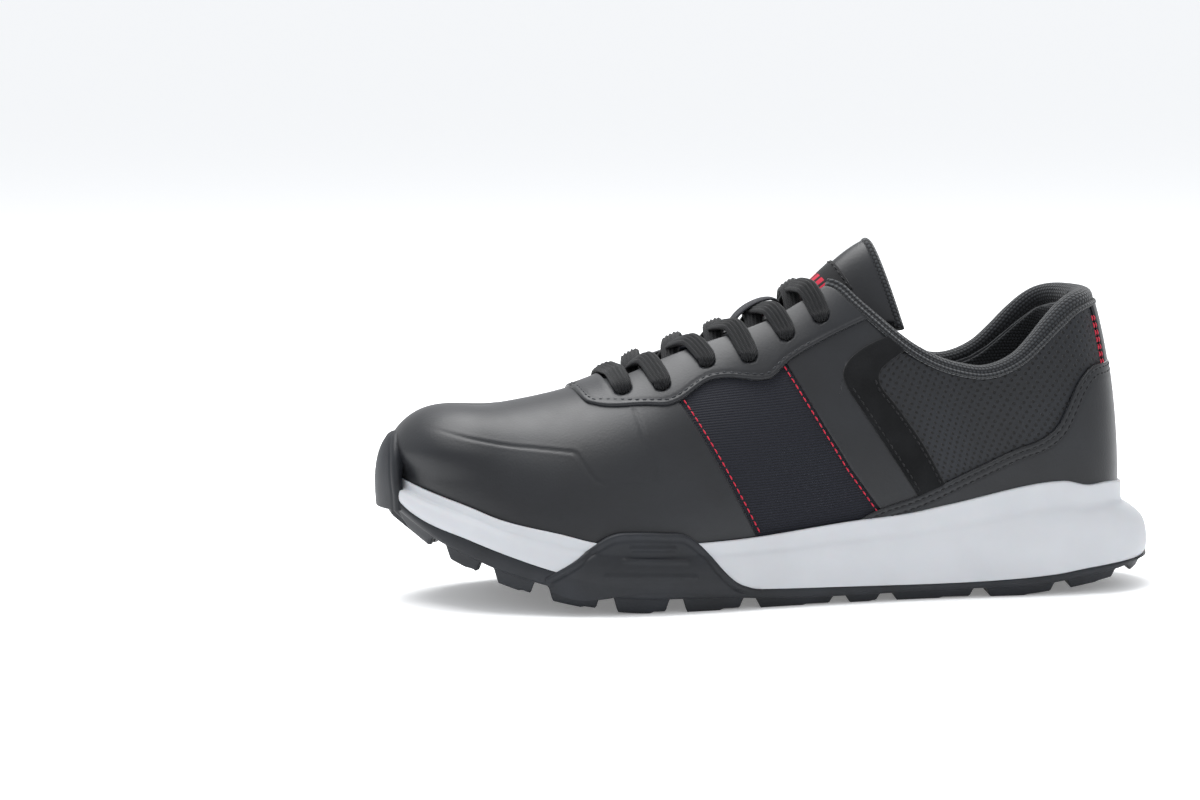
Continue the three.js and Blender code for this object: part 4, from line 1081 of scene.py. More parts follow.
s_near_heel = np.linspace(0, 0.09, 200)
strip_s = float(np.interp(BACK_STRIP_HALF, -last_point(s_near_heel, 0.55)[:, 1], s_near_heel))
s_near_heel = np.linspace(0, -0.12, 200)
strip_s_medial = float(np.interp(BACK_STRIP_HALF + 2.5, last_point(s_near_heel, 0.55)[:, 1],
                                 s_near_heel))
strip_places = panel_places(lambda t: np.full_like(t, strip_s),
                            lambda t: np.full_like(t, strip_s_medial), over_heel_top(-2.0),
                            inside_opening, border_steps(30, 1.2, True),
                            border_steps(26, 1.2, False))
back_strip = panel("heel_back_strip_leather", strip_places, 1.3, 1.0, leather,
                   round_edges=("front", "rear"), radius=0.7)
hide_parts("heel_back_strip")
for number, (edge, inset) in enumerate(((strip_places[0], 1.5), (strip_places[0], 3.4),
                                        (strip_places[-1], -1.5), (strip_places[-1], -3.4))):
    sew(f"back_strip_red_stitch_{number + 1}", beside(edge[2:-1], inset), 1.3, red_thread)

# ---- Collar roll and binding -------------------------------------------------------------------
# The knit lining is turned over the padded edge of the collar as a soft roll, and a thin
# knit binding covers the leather's raw edge outside it.
ROLL_WIDTH = 8.5
ROLL_HEIGHT = 4.6
ROLL_HEEL_HEIGHT = 6.4
BINDING_RADIUS = 1.15
COLLAR_START_X = 20.0

s_from, s_to = float(at_foot_x(COLLAR_START_X, -1)), float(at_foot_x(COLLAR_START_X, 1)) - 1
collar_path = panel_places(lambda t: np.full_like(t, s_from), lambda t: np.full_like(t, s_to),
                           None, inside_opening, np.linspace(0, 1, 260), np.array([0.0, 1.0]))
collar_path = collar_path[:, 1]


def sweep(name, centres, sections, made, body="shoe", ends=True):
    """A tube through rings of points, closed by a face at each end. `sections` is an array
    of rings; the pattern's coordinates run along it and round it."""
    count, size = sections.shape[:2]
    faces = []
    for i in range(count - 1):
        for k in range(size):
            j = (k + 1) % size
            faces.append((i * size + k, i * size + j, (i + 1) * size + j, (i + 1) * size + k))
    if ends:
        faces.append(tuple(range(size)))
        faces.append(tuple(range((count - 1) * size, count * size)))
    way = np.r_[0, np.cumsum(np.linalg.norm(np.diff(centres, axis=0), axis=1))]
    girth = np.cumsum(np.c_[np.zeros(count), np.linalg.norm(np.diff(sections, axis=1), axis=2)],
                      axis=1)
    cloth = np.stack([np.broadcast_to(way[:, None], girth.shape), girth,
                      np.zeros(girth.shape)], -1)
    return mesh_piece(name, sections.reshape(-1, 3), faces, made, body, cloth.reshape(-1, 3))


collar_base = last_point(collar_path[:, 0], collar_path[:, 1])
collar_normal = last_normal(collar_path[:, 0], collar_path[:, 1])
collar_way = unit(np.gradient(collar_base, axis=0))
collar_out = unit(collar_normal * [1, 1, 0])
collar_up = unit(np.cross(collar_way, collar_out))
collar_up *= np.sign(collar_up[:, 2:3])
swelling = 0.35 + 0.65 * smoothstep(collar_base[:, 0], 20, 60)
roll_high = (ROLL_HEIGHT + (ROLL_HEEL_HEIGHT - ROLL_HEIGHT)
             * smoothstep(collar_base[:, 0], 95, 116)) * (0.6 + 0.4 * swelling)
roll_wide = ROLL_WIDTH * swelling
angles = np.linspace(0, 2 * math.pi, 25)[:-1]
ring_out = np.sign(np.cos(angles)) * np.abs(np.cos(angles)) ** 0.85
ring_up = np.sin(angles)
roll_centre = (collar_base - collar_out * (roll_wide[:, None] / 2 - 0.3)
               + collar_up * (roll_high[:, None] * 0.3))
roll_rings = (roll_centre[:, None] + collar_out[:, None] * (ring_out[None, :, None]
              * roll_wide[:, None, None] / 2)
              + collar_up[:, None] * (ring_up[None, :, None] * roll_high[:, None, None] * 0.7))
collar_roll = sweep("collar_roll_knit", collar_base, roll_rings, knit)
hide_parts("collar_topline")

binding_centre = collar_base + collar_normal * 0.5 + collar_up * 0.5
binding_rings = (binding_centre[:, None] + BINDING_RADIUS * (
    collar_out[:, None] * np.cos(angles[::2])[None, :, None]
    + collar_up[:, None] * np.sin(angles[::2])[None, :, None]))
binding = sweep("collar_edge_binding", collar_base, binding_rings, knit)

# ---- Tongue ------------------------------------------------------------------------------------
# One padded tongue: leather face, foam, and a knit back that wraps round the edges. It is
# held by the lace, and its free top bends at the uppermost lace.
TONGUE = [(-76, 75.2, 13, 4, 8), (-67, 78, 15, 5.5, 13), (-58, 81.5, 16.5, 7.5, 17),
          (-45, 87.6, 17.5, 10.5, 20), (-31, 94, 18.5, 14, 21), (-13, 101, 18.5, 17, 21),
          (0, 106.8, 18.5, 19, 21), (8, 111.6, 18.5, 21, 21), (14.2, 117, 18.5, 23, 24),
          (20, 122.6, 19, 25.5, 32), (27, 128.8, 19.5, 29, 27), (33, 133.4, 20.6, 31.5, 21),
          (38, 136.4, 21.4, 33.5, 16), (40.2, 137.4, 21.6, 34.3, 14.5)]
TONGUE_FACE_THICK = 1.2
TONGUE_THICK = 5.9

tongue_at = [profile([(row[0], row[k]) for row in TONGUE]) for k in range(1, 5)]


def tongue_points(x, across, depth):
    """Points of the tongue: x along it, `across` from -1 to 1, depth outside its face."""
    z, half, drop, lean = (value(x) for value in tongue_at)
    lean = np.radians(lean)
    y = half * across
    slope = 2 * drop * y / half ** 2
    length = np.hypot(slope, 1)
    down = drop * across ** 2 - depth / length
    return np.stack([x + np.sin(lean) * down, CENTRE_Y + y + depth * slope / length,
                     z - np.cos(lean) * down], -1)


def tongue_sheet(name, x_from, x_to, across, top, bottom, made, body, rounding, columns=41,
                 rows=120):
    """A sheet of the tongue between two depths, its edges rounded over by `rounding`."""
    xs = x_from + (x_to - x_from) * border_steps(abs(x_to - x_from), abs(x_to - x_from) / rows,
                                                 True)
    cs = (border_steps(2 * 18.5 * across, 37 / columns, True) * 2 - 1) * across
    x, c = np.meshgrid(xs, cs, indexing="ij")
    base = tongue_points(x, c, np.zeros_like(x))
    near = np.minimum(distance_to(base, base[:, 0]), distance_to(base, base[:, -1]))
    near = np.minimum(near, distance_to(base, base[-1]))
    fall = rounding * (1 - np.sqrt(1 - np.clip(1 - near / rounding, 0, 1) ** 2))
    outer = tongue_points(x, c, top - fall)
    inner = tongue_points(x, c, np.minimum(bottom + fall * (0.9 if rounding > 1 else 0),
                                           top - fall - 0.1))
    vertices, faces = closed_sheet(outer, inner)
    arc = np.cumsum(np.c_[np.zeros(len(xs)), np.linalg.norm(np.diff(base, axis=1), axis=2)],
                    axis=1)
    along = np.cumsum(np.r_[0, np.linalg.norm(np.diff(base[:, len(cs) // 2], axis=0), axis=1)])
    cloth = np.stack([np.broadcast_to(along[:, None], arc.shape), arc, np.zeros(arc.shape)], -1)
    cloth = np.concatenate([cloth.reshape(-1, 3)] * 2)
    return mesh_piece(name, vertices, faces, made, body, cloth)


tongue_face = tongue_sheet("tongue_face_leather", TONGUE[0][0], 39.2, 0.97, 0.0,
                           -TONGUE_FACE_THICK, leather, None, 0.9)
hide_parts("tongue_face", "flap_face")
tongue_pad = tongue_sheet("tongue_pad_knit", TONGUE[0][0], 40.0, 1.0, -TONGUE_FACE_THICK - 0.05,
                          -TONGUE_THICK, knit, None, 2.2)
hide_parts("tongue_foam", "tongue_lining", "flap_foam", "flap_lining")
for piece in (tongue_face, tongue_pad):
    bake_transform(piece)

# Binding over the tongue's top edge, from one side round to the other.
across_line = np.linspace(-1, 1, 81)
edge_x = np.full_like(across_line, 40.0)
edge_mid = tongue_points(edge_x, across_line, np.full_like(edge_x, -TONGUE_THICK / 2))
edge_face = tongue_points(edge_x, across_line, np.full_like(edge_x, 0.6))
edge_inside = tongue_points(edge_x - 1.0, across_line, np.full_like(edge_x, -TONGUE_THICK / 2))
edge_up = unit(edge_face - edge_mid)
edge_out = unit(edge_mid - edge_inside)
edge_rings = (edge_mid[:, None] + edge_up[:, None] * np.sin(angles)[None, :, None] * 3.5
              + edge_out[:, None] * np.cos(angles)[None, :, None] * 2.3)
tongue_binding = sweep("tongue_top_binding", edge_mid, edge_rings, knit, body="tongue_flap")
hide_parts("tongue_binding")

# ---- Tongue label ------------------------------------------------------------------------------
# A woven black label with plain red bars, sewn flat on the top of the tongue's face.
LABEL_X = (14.9, 27.0)
LABEL_ACROSS = 0.62
LABEL_BARS = (1.8, 8.6)
label, tree, shader = material("woven_damask_label", "#0d0d10", 0.7, Sheen_Weight=0.15,
                               Sheen_Roughness=0.4, Specular_IOR_Level=0.3)
cloth = add_node(tree, "Attribute", {"attribute_name": "cloth"}).outputs["Vector"]
parts = add_node(tree, "SeparateXYZ", {}, [("Vector", cloth)])
# Bars 2 mm wide with gaps of 1.2 mm, in a strip along the label's lower half.
BAR_PITCH = 3.2
BAR_SHARE = 0.62
place = add_node(tree, "Math", {"operation": "DIVIDE", 1: BAR_PITCH}, [(0, parts.outputs["Y"])])
turn = add_node(tree, "Math", {"operation": "FRACT"}, [(0, place.outputs[0])])
bar = add_node(tree, "Math", {"operation": "LESS_THAN", 1: BAR_SHARE}, [(0, turn.outputs[0])])
low = add_node(tree, "Math", {"operation": "GREATER_THAN", 1: LABEL_BARS[0]},
               [(0, parts.outputs["X"])])
high = add_node(tree, "Math", {"operation": "LESS_THAN", 1: LABEL_BARS[1]},
                [(0, parts.outputs["X"])])
strip = add_node(tree, "Math", {"operation": "MULTIPLY"},
                 [(0, low.outputs[0]), (1, high.outputs[0])])
red = add_node(tree, "Math", {"operation": "MULTIPLY"},
               [(0, bar.outputs[0]), (1, strip.outputs[0])])
tint = add_node(tree, "ValToRGB", {}, [("Fac", red.outputs[0])])
tint.color_ramp.elements[0].color = linear("#101114")
tint.color_ramp.elements[1].color = linear("#c41f3c")
tree.links.new(tint.outputs["Color"], shader.inputs["Base Color"])
# Picks of the weave 0.45 mm apart.
weave = add_node(tree, "TexWave", {"Scale": 700.0, "bands_direction": "Y"},
                 [("Vector", add_node(tree, "TexCoord", {}).outputs["Object"])])
bump = add_node(tree, "Bump", {"Strength": 0.4, "Distance": 0.00015},
                [("Height", weave.outputs["Fac"])])
tree.links.new(bump.outputs["Normal"], shader.inputs["Normal"])
tongue_label = tongue_sheet("tongue_label_woven", *LABEL_X, LABEL_ACROSS, 0.85, 0.05, label,
                            "tongue_flap", 0.5, rows=30)
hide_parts("tongue_label")
ring = np.concatenate([
    [(x, -LABEL_ACROSS + 0.05) for x in np.linspace(LABEL_X[0] + 1, LABEL_X[1] - 1, 20)],
    [(LABEL_X[1] - 1, c) for c in np.linspace(-LABEL_ACROSS + 0.05, LABEL_ACROSS - 0.05, 40)],
    [(x, LABEL_ACROSS - 0.05) for x in np.linspace(LABEL_X[1] - 1, LABEL_X[0] + 1, 20)]])
ring_points = tongue_points(ring[:, 0], ring[:, 1], np.full(len(ring), 0.9))
ring_normals = unit(tongue_points(ring[:, 0], ring[:, 1], np.full(len(ring), 1.9)) - ring_points)
stitch_row("tongue_label_stitch", ring_points, ring_normals, black_thread, "tongue_flap")

# ---- Lace keeper -------------------------------------------------------------------------------
# A short loop of the same textile, sewn into the tongue, that the top crossing runs under.
KEEPER = [(-14.5, 101.4), (-12.5, 106.5), (-8, 110.8), (-2, 113.6), (3, 113.8), (4.2, 110.4)]
KEEPER_HALF = 5.0
KEEPER_THICK = 1.2


def through(points, count):
    """A smooth open line through points of any dimension, as `count` points."""
    points = np.array(points, float)
    padded = np.concatenate([[2 * points[0] - points[1]], points, [2 * points[-1] - points[-2]]])
    place = np.linspace(0, len(points) - 1 - 1e-9, count)
    first = place.astype(int)
    w = (place - first)[:, None]
    a, b, c, d = (padded[first + k] for k in range(4))
    return 0.5 * (2 * b + (c - a) * w + (2 * a - 5 * b + 4 * c - d) * w ** 2
                  + (3 * b - 3 * c + d - a) * w ** 3)


def flat_section(width, thick, ribs=0):
    """The outline of a flat woven strap, (across, up), with its edges rounded and ribs woven
    into both faces."""
    side = np.linspace(-1, 1, 4 * max(ribs, 2) + 1)
    crown = thick / 2 * (1 - np.abs(side) ** 5)
    if ribs:
        crown = crown * (1 + 0.28 * np.cos(side * math.pi * ribs))
    upper = np.stack([side * width / 2, crown], -1)
    return np.concatenate([upper[:-1], (-upper)[:-1]])


keeper_line = through(KEEPER, 50)
keeper_centre = np.stack([keeper_line[:, 0], np.full(50, CENTRE_Y), keeper_line[:, 1]], -1)
keeper_way = unit(np.gradient(keeper_centre, axis=0))
keeper_up = np.stack([-keeper_way[:, 2], np.zeros(50), keeper_way[:, 0]], -1)
keeper_section = flat_section(2 * KEEPER_HALF, KEEPER_THICK)
keeper_rings = (keeper_centre[:, None] + keeper_up[:, None] * (keeper_section[None, :, 1:] + 0.6)
                + np.array([0, 1.0, 0]) * keeper_section[None, :, :1])
keeper = sweep("lace_keeper_loop", keeper_centre, keeper_rings, textile)
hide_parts("lace_keeper")

# ---- Midsole -----------------------------------------------------------------------------------
# A thick moulded wedge of white-grey EVA foam, cemented under the lasted upper. Its side
# wall steps out below a soft shoulder and flares at the heel.
SOLE = [(155, -1), (149, -23), (131, -37.5), (100, -42.5), (65, -42.5), (30, -45), (-5, -50),
        (-40, -56), (-75, -57), (-108, -48), (-136, -30), (-152, -3), (-150, 20), (-132, 39),
        (-105, 50), (-72, 53), (-38, 48), (-4, 38), (30, 32), (65, 32), (100, 37),
        (129, 34.5), (148, 20)]
MIDSOLE_BOTTOM_Z = [(-152, 45), (-145, 37), (-125, 27.8), (-109, 21.6), (-95, 17), (-75, 12),
                    (-40, 9.5), (-15, 7.8), (10, 7), (65, 6.3), (86, 6.9), (108, 8.4),
                    (120, 10), (154, 12.5)]
RIM_OUT = 2.6
# Side wall, from the rim down: (share of the height, share of the way out to SOLE).
WALL = [(0, 0.02), (0.12, 0.03), (0.26, 0.08), (0.36, 0.45), (0.52, 0.85), (0.76, 1.0), (0.93, 0.97),
        (1.0, 0.86)]
SOLE_STEPS = 360

sole_plan = closed_curve(SOLE)
midsole_bottom_z = profile(MIDSOLE_BOTTOM_Z)
sole_s = np.arange(SOLE_STEPS) / SOLE_STEPS


def ring_at(plan, z):
    """A ring of points over a plan outline; z is a function of x, or a number."""
    height = z(plan[:, 0]) if callable(z) else np.full(len(plan), float(z))
    return np.concatenate([plan, height[:, None]], axis=1)


def ring_loft(name, rings, made, body="shoe", flat=False):
    """A closed body through rings, each end closed by strips across it."""
    size = len(rings[0])
    faces = []
    for j in range(len(rings) - 1):
        for i in range(size):
            k = (i + 1) % size
            faces.append((j * size + i, j * size + k, (j + 1) * size + k, (j + 1) * size + i))
    for start in (0, (len(rings) - 1) * size):
        for i in range(size // 2 - 1):
            faces.append((start + i, start + i + 1, start + size - 2 - i, start + size - 1 - i))
    points = np.concatenate(rings)
    around = np.cumsum(np.r_[0, np.linalg.norm(np.diff(rings[0], axis=0), axis=1)])
    cloth = np.concatenate([np.stack([around, ring[:, 2], np.zeros(size)], -1)
                            for ring in rings])
    if flat:
        cloth = points * [1, 1, 0]
    return mesh_piece(name, points, faces, made, body, cloth)


def wall_ring(down, out, shrink=0.0):
    rim = plan_point(feather_plan, sole_s, RIM_OUT - shrink)
    wide = plan_point(sole_plan, sole_s, -shrink)
    plan = rim + (wide - rim) * out
    top, bottom = rim_z(plan[:, 0]), midsole_bottom_z(plan[:, 0])
    return np.concatenate([plan, (top + (bottom - top) * down)[:, None]], axis=1)


# Moulded EVA: an even pale foam skin, matt, with the faint pebble of the mould.
eva, tree, shader = material("moulded_eva_foam", "#bbbdc1", 0.55, IOR=1.45,
                             Subsurface_Weight=0.08, Subsurface_Scale=0.003,
                             Specular_IOR_Level=0.35)
# The mould's pebbles are 1.1 mm apart.
pebble = add_node(tree, "TexVoronoi", {"feature": "SMOOTH_F1", "Scale": 900.0},
                  [("Vector", add_node(tree, "TexCoord", {}).outputs["Object"])])
SMUDGE_WIDE = 40.0
smudge = add_node(tree, "TexNoise", {"Scale": 1000 / SMUDGE_WIDE, "Detail": 4.0},
                  [("Vector", add_node(tree, "TexCoord", {}).outputs["Object"])])
tint = add_node(tree, "ValToRGB", {}, [("Fac", smudge.outputs["Fac"])])
tint.color_ramp.elements[0].color = linear("#b7b9bd")
tint.color_ramp.elements[0].position = 0.35
tint.color_ramp.elements[1].color = linear("#bfc1c5")
tint.color_ramp.elements[1].position = 0.65
tree.links.new(tint.outputs["Color"], shader.inputs["Base Color"])
bump = add_node(tree, "Bump", {"Strength": 0.15, "Distance": 0.00015},
                [("Height", pebble.outputs["Distance"])])
tree.links.new(bump.outputs["Normal"], shader.inputs["Normal"])

wall_line = through(WALL, 40)
midsole_rings = [wall_ring(1.0, wall_line[-1][1], 6.0)]
midsole_rings += [wall_ring(down, out) for down, out in wall_line[::-1]]
rim_top = plan_point(feather_plan, sole_s, RIM_OUT - 0.9)
midsole_rings.append(ring_at(rim_top, lambda x: rim_z(x) + 0.35))
midsole_rings.append(ring_at(plan_point(feather_plan, sole_s, 0.6), lambda x: rim_z(x) - 0.6))
midsole_rings.append(ring_at(plan_point(feather_plan, sole_s, 0.4),
                             lambda x: feather_z(x) - 0.4))
midsole_rings.append(ring_at(plan_point(feather_plan, sole_s, -6.0),
                             lambda x: feather_z(x) - 0.4))
midsole = ring_loft("midsole_eva", midsole_rings, eva)
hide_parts("midsole")

# ---- Outsole -----------------------------------------------------------------------------------
# Slate-black moulded rubber, cemented under the foam: a sheet, tread blocks between S-shaped
# channels, a wing up each side at the ball of the foot, and a bumper over the toe.
GROUND_Z = [(-152, 38), (-148, 33), (-142, 27.5), (-135.6, 22.4), (-125.6, 16.8), (-116, 12.2),
            (-104.7, 8.1), (-93.6, 4.9), (-80, 2.2), (-66, 0.5), (-56, 0), (-50, 0), (90, 0),
            (96, 0), (105, 0.9), (113, 2.1), (132, 5), (155, 8.8)]
LUG_DEPTH = [(-152, 3.5), (-120, 5), (-30, 5), (-5, 3.4), (100, 3.8), (155, 3.2)]
FORE_CHANNELS = [-129, -110, -89, -64, -37]
HEEL_CHANNELS = [-11, 25, 44, 82, 115, 141]
FORE_LEAN, FORE_WIDTH = 9.0, 5.0
HEEL_LEAN, HEEL_WIDTH = 6.0, 5.0
ARCH_COLUMNS = (6, 7)
LATERAL_CHANNEL = [(-146, -6), (-110, -22), (-70, -27), (-30, -24), (0, -18), (50, -16),
                   (100, -17), (150, -8)]
MEDIAL_CHANNEL = [(-146, 14), (-110, 22), (-70, 25), (-30, 21), (0, 14), (50, 11), (100, 14),
                  (150, 8)]
LENGTHWISE_WIDTH = 3.6
LUG_INSET = 2.0
LUG_SLOPE = 1.9

ground_profile = profile(GROUND_Z)
lug_depth = profile(LUG_DEPTH)


def ground_z(x):
    """The height of the tread's ground face, which lifts at the toe and the heel."""
    return np.maximum(ground_profile(x), 0.0)


# Moulded rubber: matt, with a fine sandblasted grain and slightly lighter where rubbed.
rubber, tree, shader = material("moulded_slate_rubber", "#1a1c21", 0.55, IOR=1.52,
                                Specular_IOR_Level=0.35)
place = add_node(tree, "TexCoord", {}).outputs["Object"]
BLAST_GRAIN = 0.7
grain = add_node(tree, "TexNoise", {"Scale": 1000 / BLAST_GRAIN, "Detail": 3.0},
                 [("Vector", place)])
RUBBED_PATCH = 22.0
dust = add_node(tree, "TexNoise", {"Scale": 1000 / RUBBED_PATCH, "Detail": 4.0},
                [("Vector", place)])
tint = add_node(tree, "ValToRGB", {}, [("Fac", dust.outputs["Fac"])])
tint.color_ramp.elements[0].color = linear("#15171b")
tint.color_ramp.elements[0].position = 0.35
tint.color_ramp.elements[1].color = linear("#1f2228")
tint.color_ramp.elements[1].position = 0.7
tree.links.new(tint.outputs["Color"], shader.inputs["Base Color"])
bump = add_node(tree, "Bump", {"Strength": 0.3, "Distance": 0.0002},
                [("Height", grain.outputs["Fac"])])
tree.links.new(bump.outputs["Normal"], shader.inputs["Normal"])


def tread_top(x):
    """The underside of the rubber sheet, from which the tread blocks stand down."""
    return ground_z(x) + lug_depth(x)


sheet_rings = [
    ring_at(plan_point(sole_plan, sole_s, -9.0), tread_top),
    ring_at(plan_point(sole_plan, sole_s, -1.9), tread_top),
    ring_at(plan_point(sole_plan, sole_s, -0.9), lambda x: tread_top(x) + 0.4),
    ring_at(plan_point(sole_plan, sole_s, -0.35), lambda x: tread_top(x) + 1.3),
    ring_at(plan_point(sole_plan, sole_s, -0.2), lambda x: midsole_bottom_z(x) - 0.5),
    ring_at(plan_point(sole_plan, sole_s, -0.7), lambda x: midsole_bottom_z(x) + 0.25),
    ring_at(plan_point(sole_plan, sole_s, -5.0), lambda x: midsole_bottom_z(x) + 0.3)]
sheet = ring_loft("outsole_sheet_rubber", sheet_rings, rubber)
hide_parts("outsole")


def channel_line(x_centre, lean):
    """The middle of a transverse channel: x as a function of y."""
    return profile([(-75, x_centre - lean - 6), (-40, x_centre - lean),
                    (-14, x_centre - lean * 0.3), (14, x_centre + lean * 0.3),
                    (40, x_centre + lean), (75, x_centre + lean + 6)])


# Half-outlines of the tread as y from x, and its two ends as x from y.
EDGE_STEPS = 1440
MEDIAL_LEAST_Y = 2
edge_plan = plan_point(sole_plan, np.arange(EDGE_STEPS) / EDGE_STEPS, -LUG_INSET)
toe_index = int(np.argmin(edge_plan[:, 0]))
heel_index = int(np.argmax(edge_plan[:, 0]))
if heel_index < toe_index:
    lateral_edge = edge_plan[heel_index:toe_index + 1]
    medial_edge = edge_plan[toe_index:]
else:
    lateral_edge = edge_plan[:toe_index + 1]
    medial_edge = edge_plan[toe_index:heel_index]
medial_edge = medial_edge[medial_edge[:, 1] > MEDIAL_LEAST_Y]


def edge_y(side):
    """The tread's edge on one side: y from x."""
    line = lateral_edge if side < 0 else medial_edge
    line = line[np.argsort(line[:, 0])]
    return lambda x: np.interp(x, line[:, 0], line[:, 1])


def end_x(toe):
    """The tread's edge at the toe's or the heel's end: x from y."""
    near = edge_plan[edge_plan[:, 0] < -60] if toe else edge_plan[edge_plan[:, 0] > 60]
    near = near[np.argsort(near[:, 1])]
    return lambda y: np.interp(y, near[:, 1], near[:, 0])


lateral_channel, medial_channel = profile(LATERAL_CHANNEL), profile(MEDIAL_CHANNEL)
half_way = LENGTHWISE_WIDTH / 2
TREAD_ROWS = {
    "lateral": (edge_y(-1), lambda x: lateral_channel(x) - half_way),
    "centre": (lambda x: lateral_channel(x) + half_way, lambda x: medial_channel(x) - half_way),
    "medial": (lambda x: medial_channel(x) + half_way, edge_y(1)),
}
channels = ([(channel_line(x, FORE_LEAN), FORE_WIDTH / 2) for x in FORE_CHANNELS]
            + [(channel_line(x, HEEL_LEAN), HEEL_WIDTH / 2) for x in HEEL_CHANNELS])
tread_lines = [(end_x(True), 0.0), *channels, (end_x(False), 0.0)]


def raised(distance, width):
    """A height from 0 at an edge to 1 at `width` inside it, with softened corners."""
    return smoothstep(distance, 0, width) * 0.5 + 0.5 * np.clip(distance / width, 0, 1)


def tile(u, v, u0, v0, half_u, half_v):
    """One small raised tile at (u0, v0), in millimetres, hollow in its middle."""
    du, dv = half_u - np.abs(u - u0), half_v - np.abs(v - v0)
    inside = np.minimum(du, dv)
    hollow = np.clip((inside - 1.5) / 0.5, 0, 1) * 0.75
    return np.clip(inside / 0.7, 0, 1) - hollow


block_vertices, block_faces = [], []
for column in range(len(tread_lines) - 1):
    (x_start, half_start), (x_stop, half_stop) = tread_lines[column], tread_lines[column + 1]
    for row_name, (y_start, y_stop) in TREAD_ROWS.items():
        arch = column in ARCH_COLUMNS and row_name == "centre"
        if arch:
            continue
        middle_x = (x_start(np.array(0.0)) + x_stop(np.array(0.0))) / 2
        y_mid = (y_start(middle_x) + y_stop(middle_x)) / 2
        long = float(x_stop(y_mid) - half_stop - x_start(y_mid) - half_start)
        wide = float(y_stop(middle_x) - y_start(middle_x))
        cell = 0.85 if row_name == "centre" else 1.6
        a = border_steps(max(long, 6), cell, True)
        b = border_steps(max(wide, 6), cell, True)
        a, b = np.meshgrid(a, b, indexing="ij")
        x = middle_x + 0 * a
        for _ in range(14):
            y = y_start(x) + (y_stop(x) - y_start(x)) * b
            left, right = x_start(y) + half_start, x_stop(y) - half_stop
            x = 0.5 * x + 0.5 * (left + np.maximum(right - left, 0.5) * a)
        y = y_start(x) + (y_stop(x) - y_start(x)) * b
        flat = np.stack([x, y, np.zeros_like(x)], -1)
        if min(np.ptp(x), np.ptp(y)) < 5.5:
            continue
        near = distance_to(flat, flat[0])
        for path in (flat[-1], flat[:, 0], flat[:, -1]):
            near = np.minimum(near, distance_to(flat, path))
        rise = raised(near, LUG_SLOPE)
        if row_name == "centre":
            # A lower plate carries a staggered group of hollow tiles.
            u, v = a * long, b * wide
            tiles = np.zeros_like(u)
            columns_here = max(1, int(long // 10))
            rows_here = max(1, int(wide // 11))
            for m in range(columns_here):
                for n in range(rows_here):
                    lean = 2.2 * (1 if n % 2 else -1) if columns_here > 1 else 0
                    tiles = np.maximum(tiles, tile(
                        u, v, (m + 0.5) * long / columns_here + lean * 0.4,
                        (n + 0.5) * wide / rows_here + lean * 0.6,
                        min(3.4, long / columns_here / 2 - 1.1),
                        min(3.9, wide / rows_here / 2 - 1.2)))
            rise = rise * (0.5 + 0.5 * np.clip(tiles, 0, 1))
        else:
            # A shallow slanted step across the face of each edge block.
            step_place = (a - 0.5) * long + (b - 0.5) * wide * 0.25
            rise = rise - 0.16 * smoothstep(step_place, 0.3, 1.1) * smoothstep(near, 1.2, 2.4)
        top = tread_top(x) + 0.6
        bottom = tread_top(x) - lug_depth(x) * rise
        outer = np.stack([x, y, np.maximum(bottom, 0.0)], -1)
        inner = np.stack([x, y, top], -1)
        points, quads = closed_sheet(outer, inner)
        block_faces += [tuple(len(block_vertices) + k for k in quad) for quad in quads]
        block_vertices += list(points)
blocks = mesh_piece("outsole_tread_rubber", np.array(block_vertices), block_faces, rubber,
                    "shoe")

# Side wings: plates that lie over the foam's wall, with three moulded ridges each.
WING_LOW = [(-99, 13), (-96, 9.5), (-60, 8.5), (-19, 6.5), (-14, 7)]
WING_HIGH = [(-99, 14.5), (-91, 19.2), (-75.5, 29.6), (-71.5, 31.0), (-66, 31.3), (-52, 30.6),
             (-46, 30), (-41.5, 27.6), (-25.5, 11.6), (-19, 8.6), (-14, 7.6)]
WING_RIDGES = [[(-76, 15.2), (-42, 13.8)], [(-69, 20.6), (-45, 19.4)], [(-66, 25.2), (-50, 24.6)]]
WING_PROUD = 0.9
WING_SUNK = 1.6
wing_low_z, wing_high_z = profile(WING_LOW), profile(WING_HIGH)


def wall_point(s, z):
    """A point and outward normal of the midsole's side wall at a height."""
    rim = plan_point(feather_plan, s, RIM_OUT)
    wide = plan_point(sole_plan, s)
    out = np.full(np.shape(s), 0.6)
    for _ in range(12):
        x = (rim + (wide - rim) * out[..., None])[..., 0]
        top, bottom = rim_z(x), midsole_bottom_z(x)
        down = np.clip((top - z) / (top - bottom), 0, 1.0)
        out = np.interp(down, wall_line[:, 0], wall_line[:, 1])
    plan = rim + (wide - rim) * out[..., None]
    return np.concatenate([plan, np.broadcast_to(z, np.shape(s))[..., None]], axis=-1)


